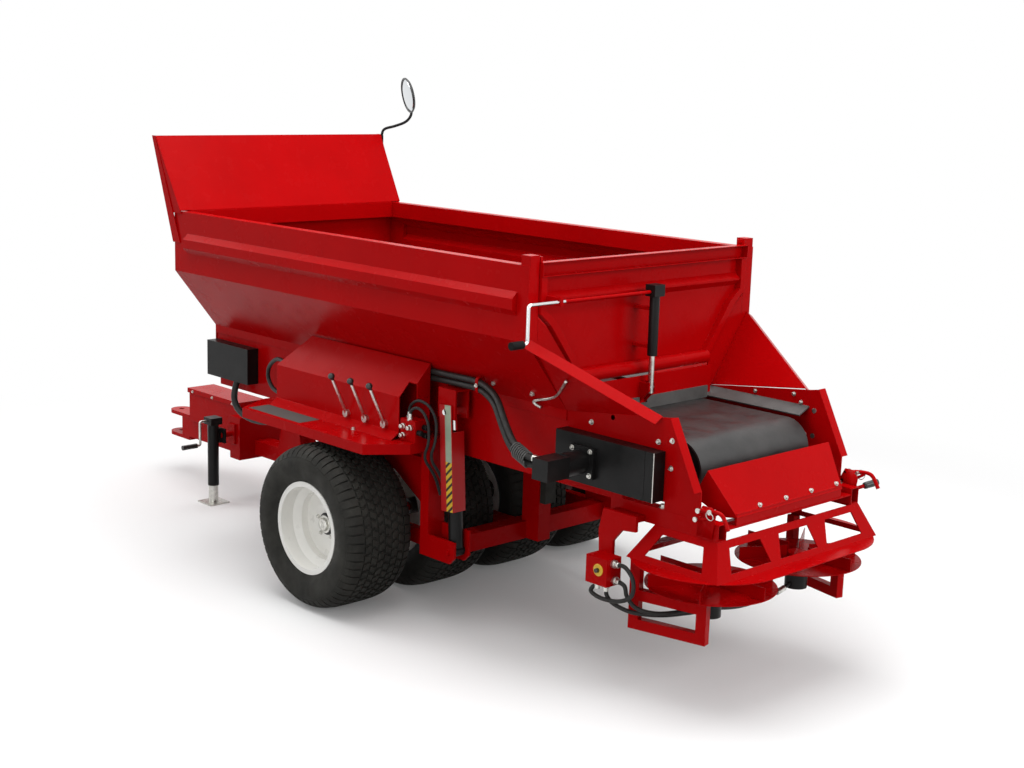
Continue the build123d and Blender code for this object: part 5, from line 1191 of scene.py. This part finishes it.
def mixShaders(finish, factor, first, second):
    mix = addNode(finish, "ShaderNodeMixShader")
    for source, target in zip((factor, first, second), mix.inputs):
        join(finish, source, target)
    return mix.outputs["Shader"]


def makeFloor(facts):
    # flat square; it turns from lit paper near the machine into plain white far away
    half = facts["floorHalf"]
    mesh = bpy.data.meshes.new("floor")
    mesh.from_pydata(floorPlan(-half, half, -half, half, 0), [], [(0, 1, 2, 3)])
    floor = bpy.data.objects.new("floor", mesh)
    bpy.context.scene.collection.objects.link(floor)
    finish = newFinish("floor_paper", facts["floorColour"], 0.9, specular=0.1)
    reach = addNode(finish, "ShaderNodeVectorMath", operation="LENGTH")
    join(finish, placeOf(finish), reach.inputs[0])
    fade = spreadOf(
        finish,
        reach.outputs["Value"],
        (facts["clearRadius"], facts["fadeRadius"]),
        (facts["shadowLift"], 1),
        interpolation_type="SMOOTHSTEP",
    )
    # seen directly it is the pale paper; as light it is darker
    direct = seenDirectly(finish)
    bounce = addNode(finish, "ShaderNodeBsdfDiffuse", Color=(*facts["bounceColour"], 1))
    lit = shaderOf(finish).outputs["BSDF"]
    paper = mixShaders(finish, direct, bounce.outputs["BSDF"], lit)
    white = addNode(finish, "ShaderNodeEmission", Strength=1.0).outputs["Emission"]
    seen = mixShaders(finish, mathOf(finish, "MULTIPLY", fade, direct), paper, white)
    join(finish, seen, finish.node_tree.nodes["Material Output"].inputs["Surface"])
    mesh.materials.append(finish)
    floor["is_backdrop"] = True


def makeWorld(facts):
    # seen directly it is white; as light it rises from the horizon to the top
    world = bpy.data.worlds.new("studio")
    bpy.context.scene.world = world
    world.use_nodes = True
    parts = addNode(world, "ShaderNodeSeparateXYZ")
    around = addNode(world, "ShaderNodeTexCoord").outputs["Generated"]
    join(world, around, parts.inputs["Vector"])
    brightness = (facts["skyLow"], facts["skyTop"])
    rising = spreadOf(world, parts.outputs["Z"], facts["skySpan"], brightness)
    back = world.node_tree.nodes["Background"]
    back.inputs["Color"].default_value = (1, 1, 1, 1)
    strength = mixOf(world, seenDirectly(world), rising, 1.0, "FLOAT")
    join(world, strength, back.inputs["Strength"])


lampFacts = {
    "top": {"place": (0.0, 0.2, 5.5), "aim": (0, 0, 0.8), "size": (7.0, 5.0), "power": 330},
    "left": {"place": (-2.5, 6.5, 1.9), "aim": (-0.2, 0, 0.7), "size": (4.0, 2.4), "power": 75},
    "rear": {"place": (-7.0, -1.0, 3.6), "aim": (-0.8, 0, 1.2), "size": (4.0, 3.0), "power": 170},
    "front": {"place": (6.5, 3.0, 4.2), "aim": (0.9, 0, 1.4), "size": (3.0, 3.0), "power": 90},
}


def makeLamp(name, facts):
    data = bpy.data.lights.new(name, "AREA")
    data.shape = "RECTANGLE"
    data.size, data.size_y = facts["size"]
    data.energy = facts["power"]
    lamp = bpy.data.objects.new(name, data)
    bpy.context.scene.collection.objects.link(lamp)
    lamp.location = facts["place"]
    aim = Vector(facts["aim"]) - Vector(facts["place"])
    lamp.rotation_euler = aim.to_track_quat("-Z", "Y").to_euler()


makeFloor(stageFacts)
makeWorld(stageFacts)
for lampName, facts in lampFacts.items():
    makeLamp(f"lamp_{lampName}", facts)
print("stage: floor and light")

low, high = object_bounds()
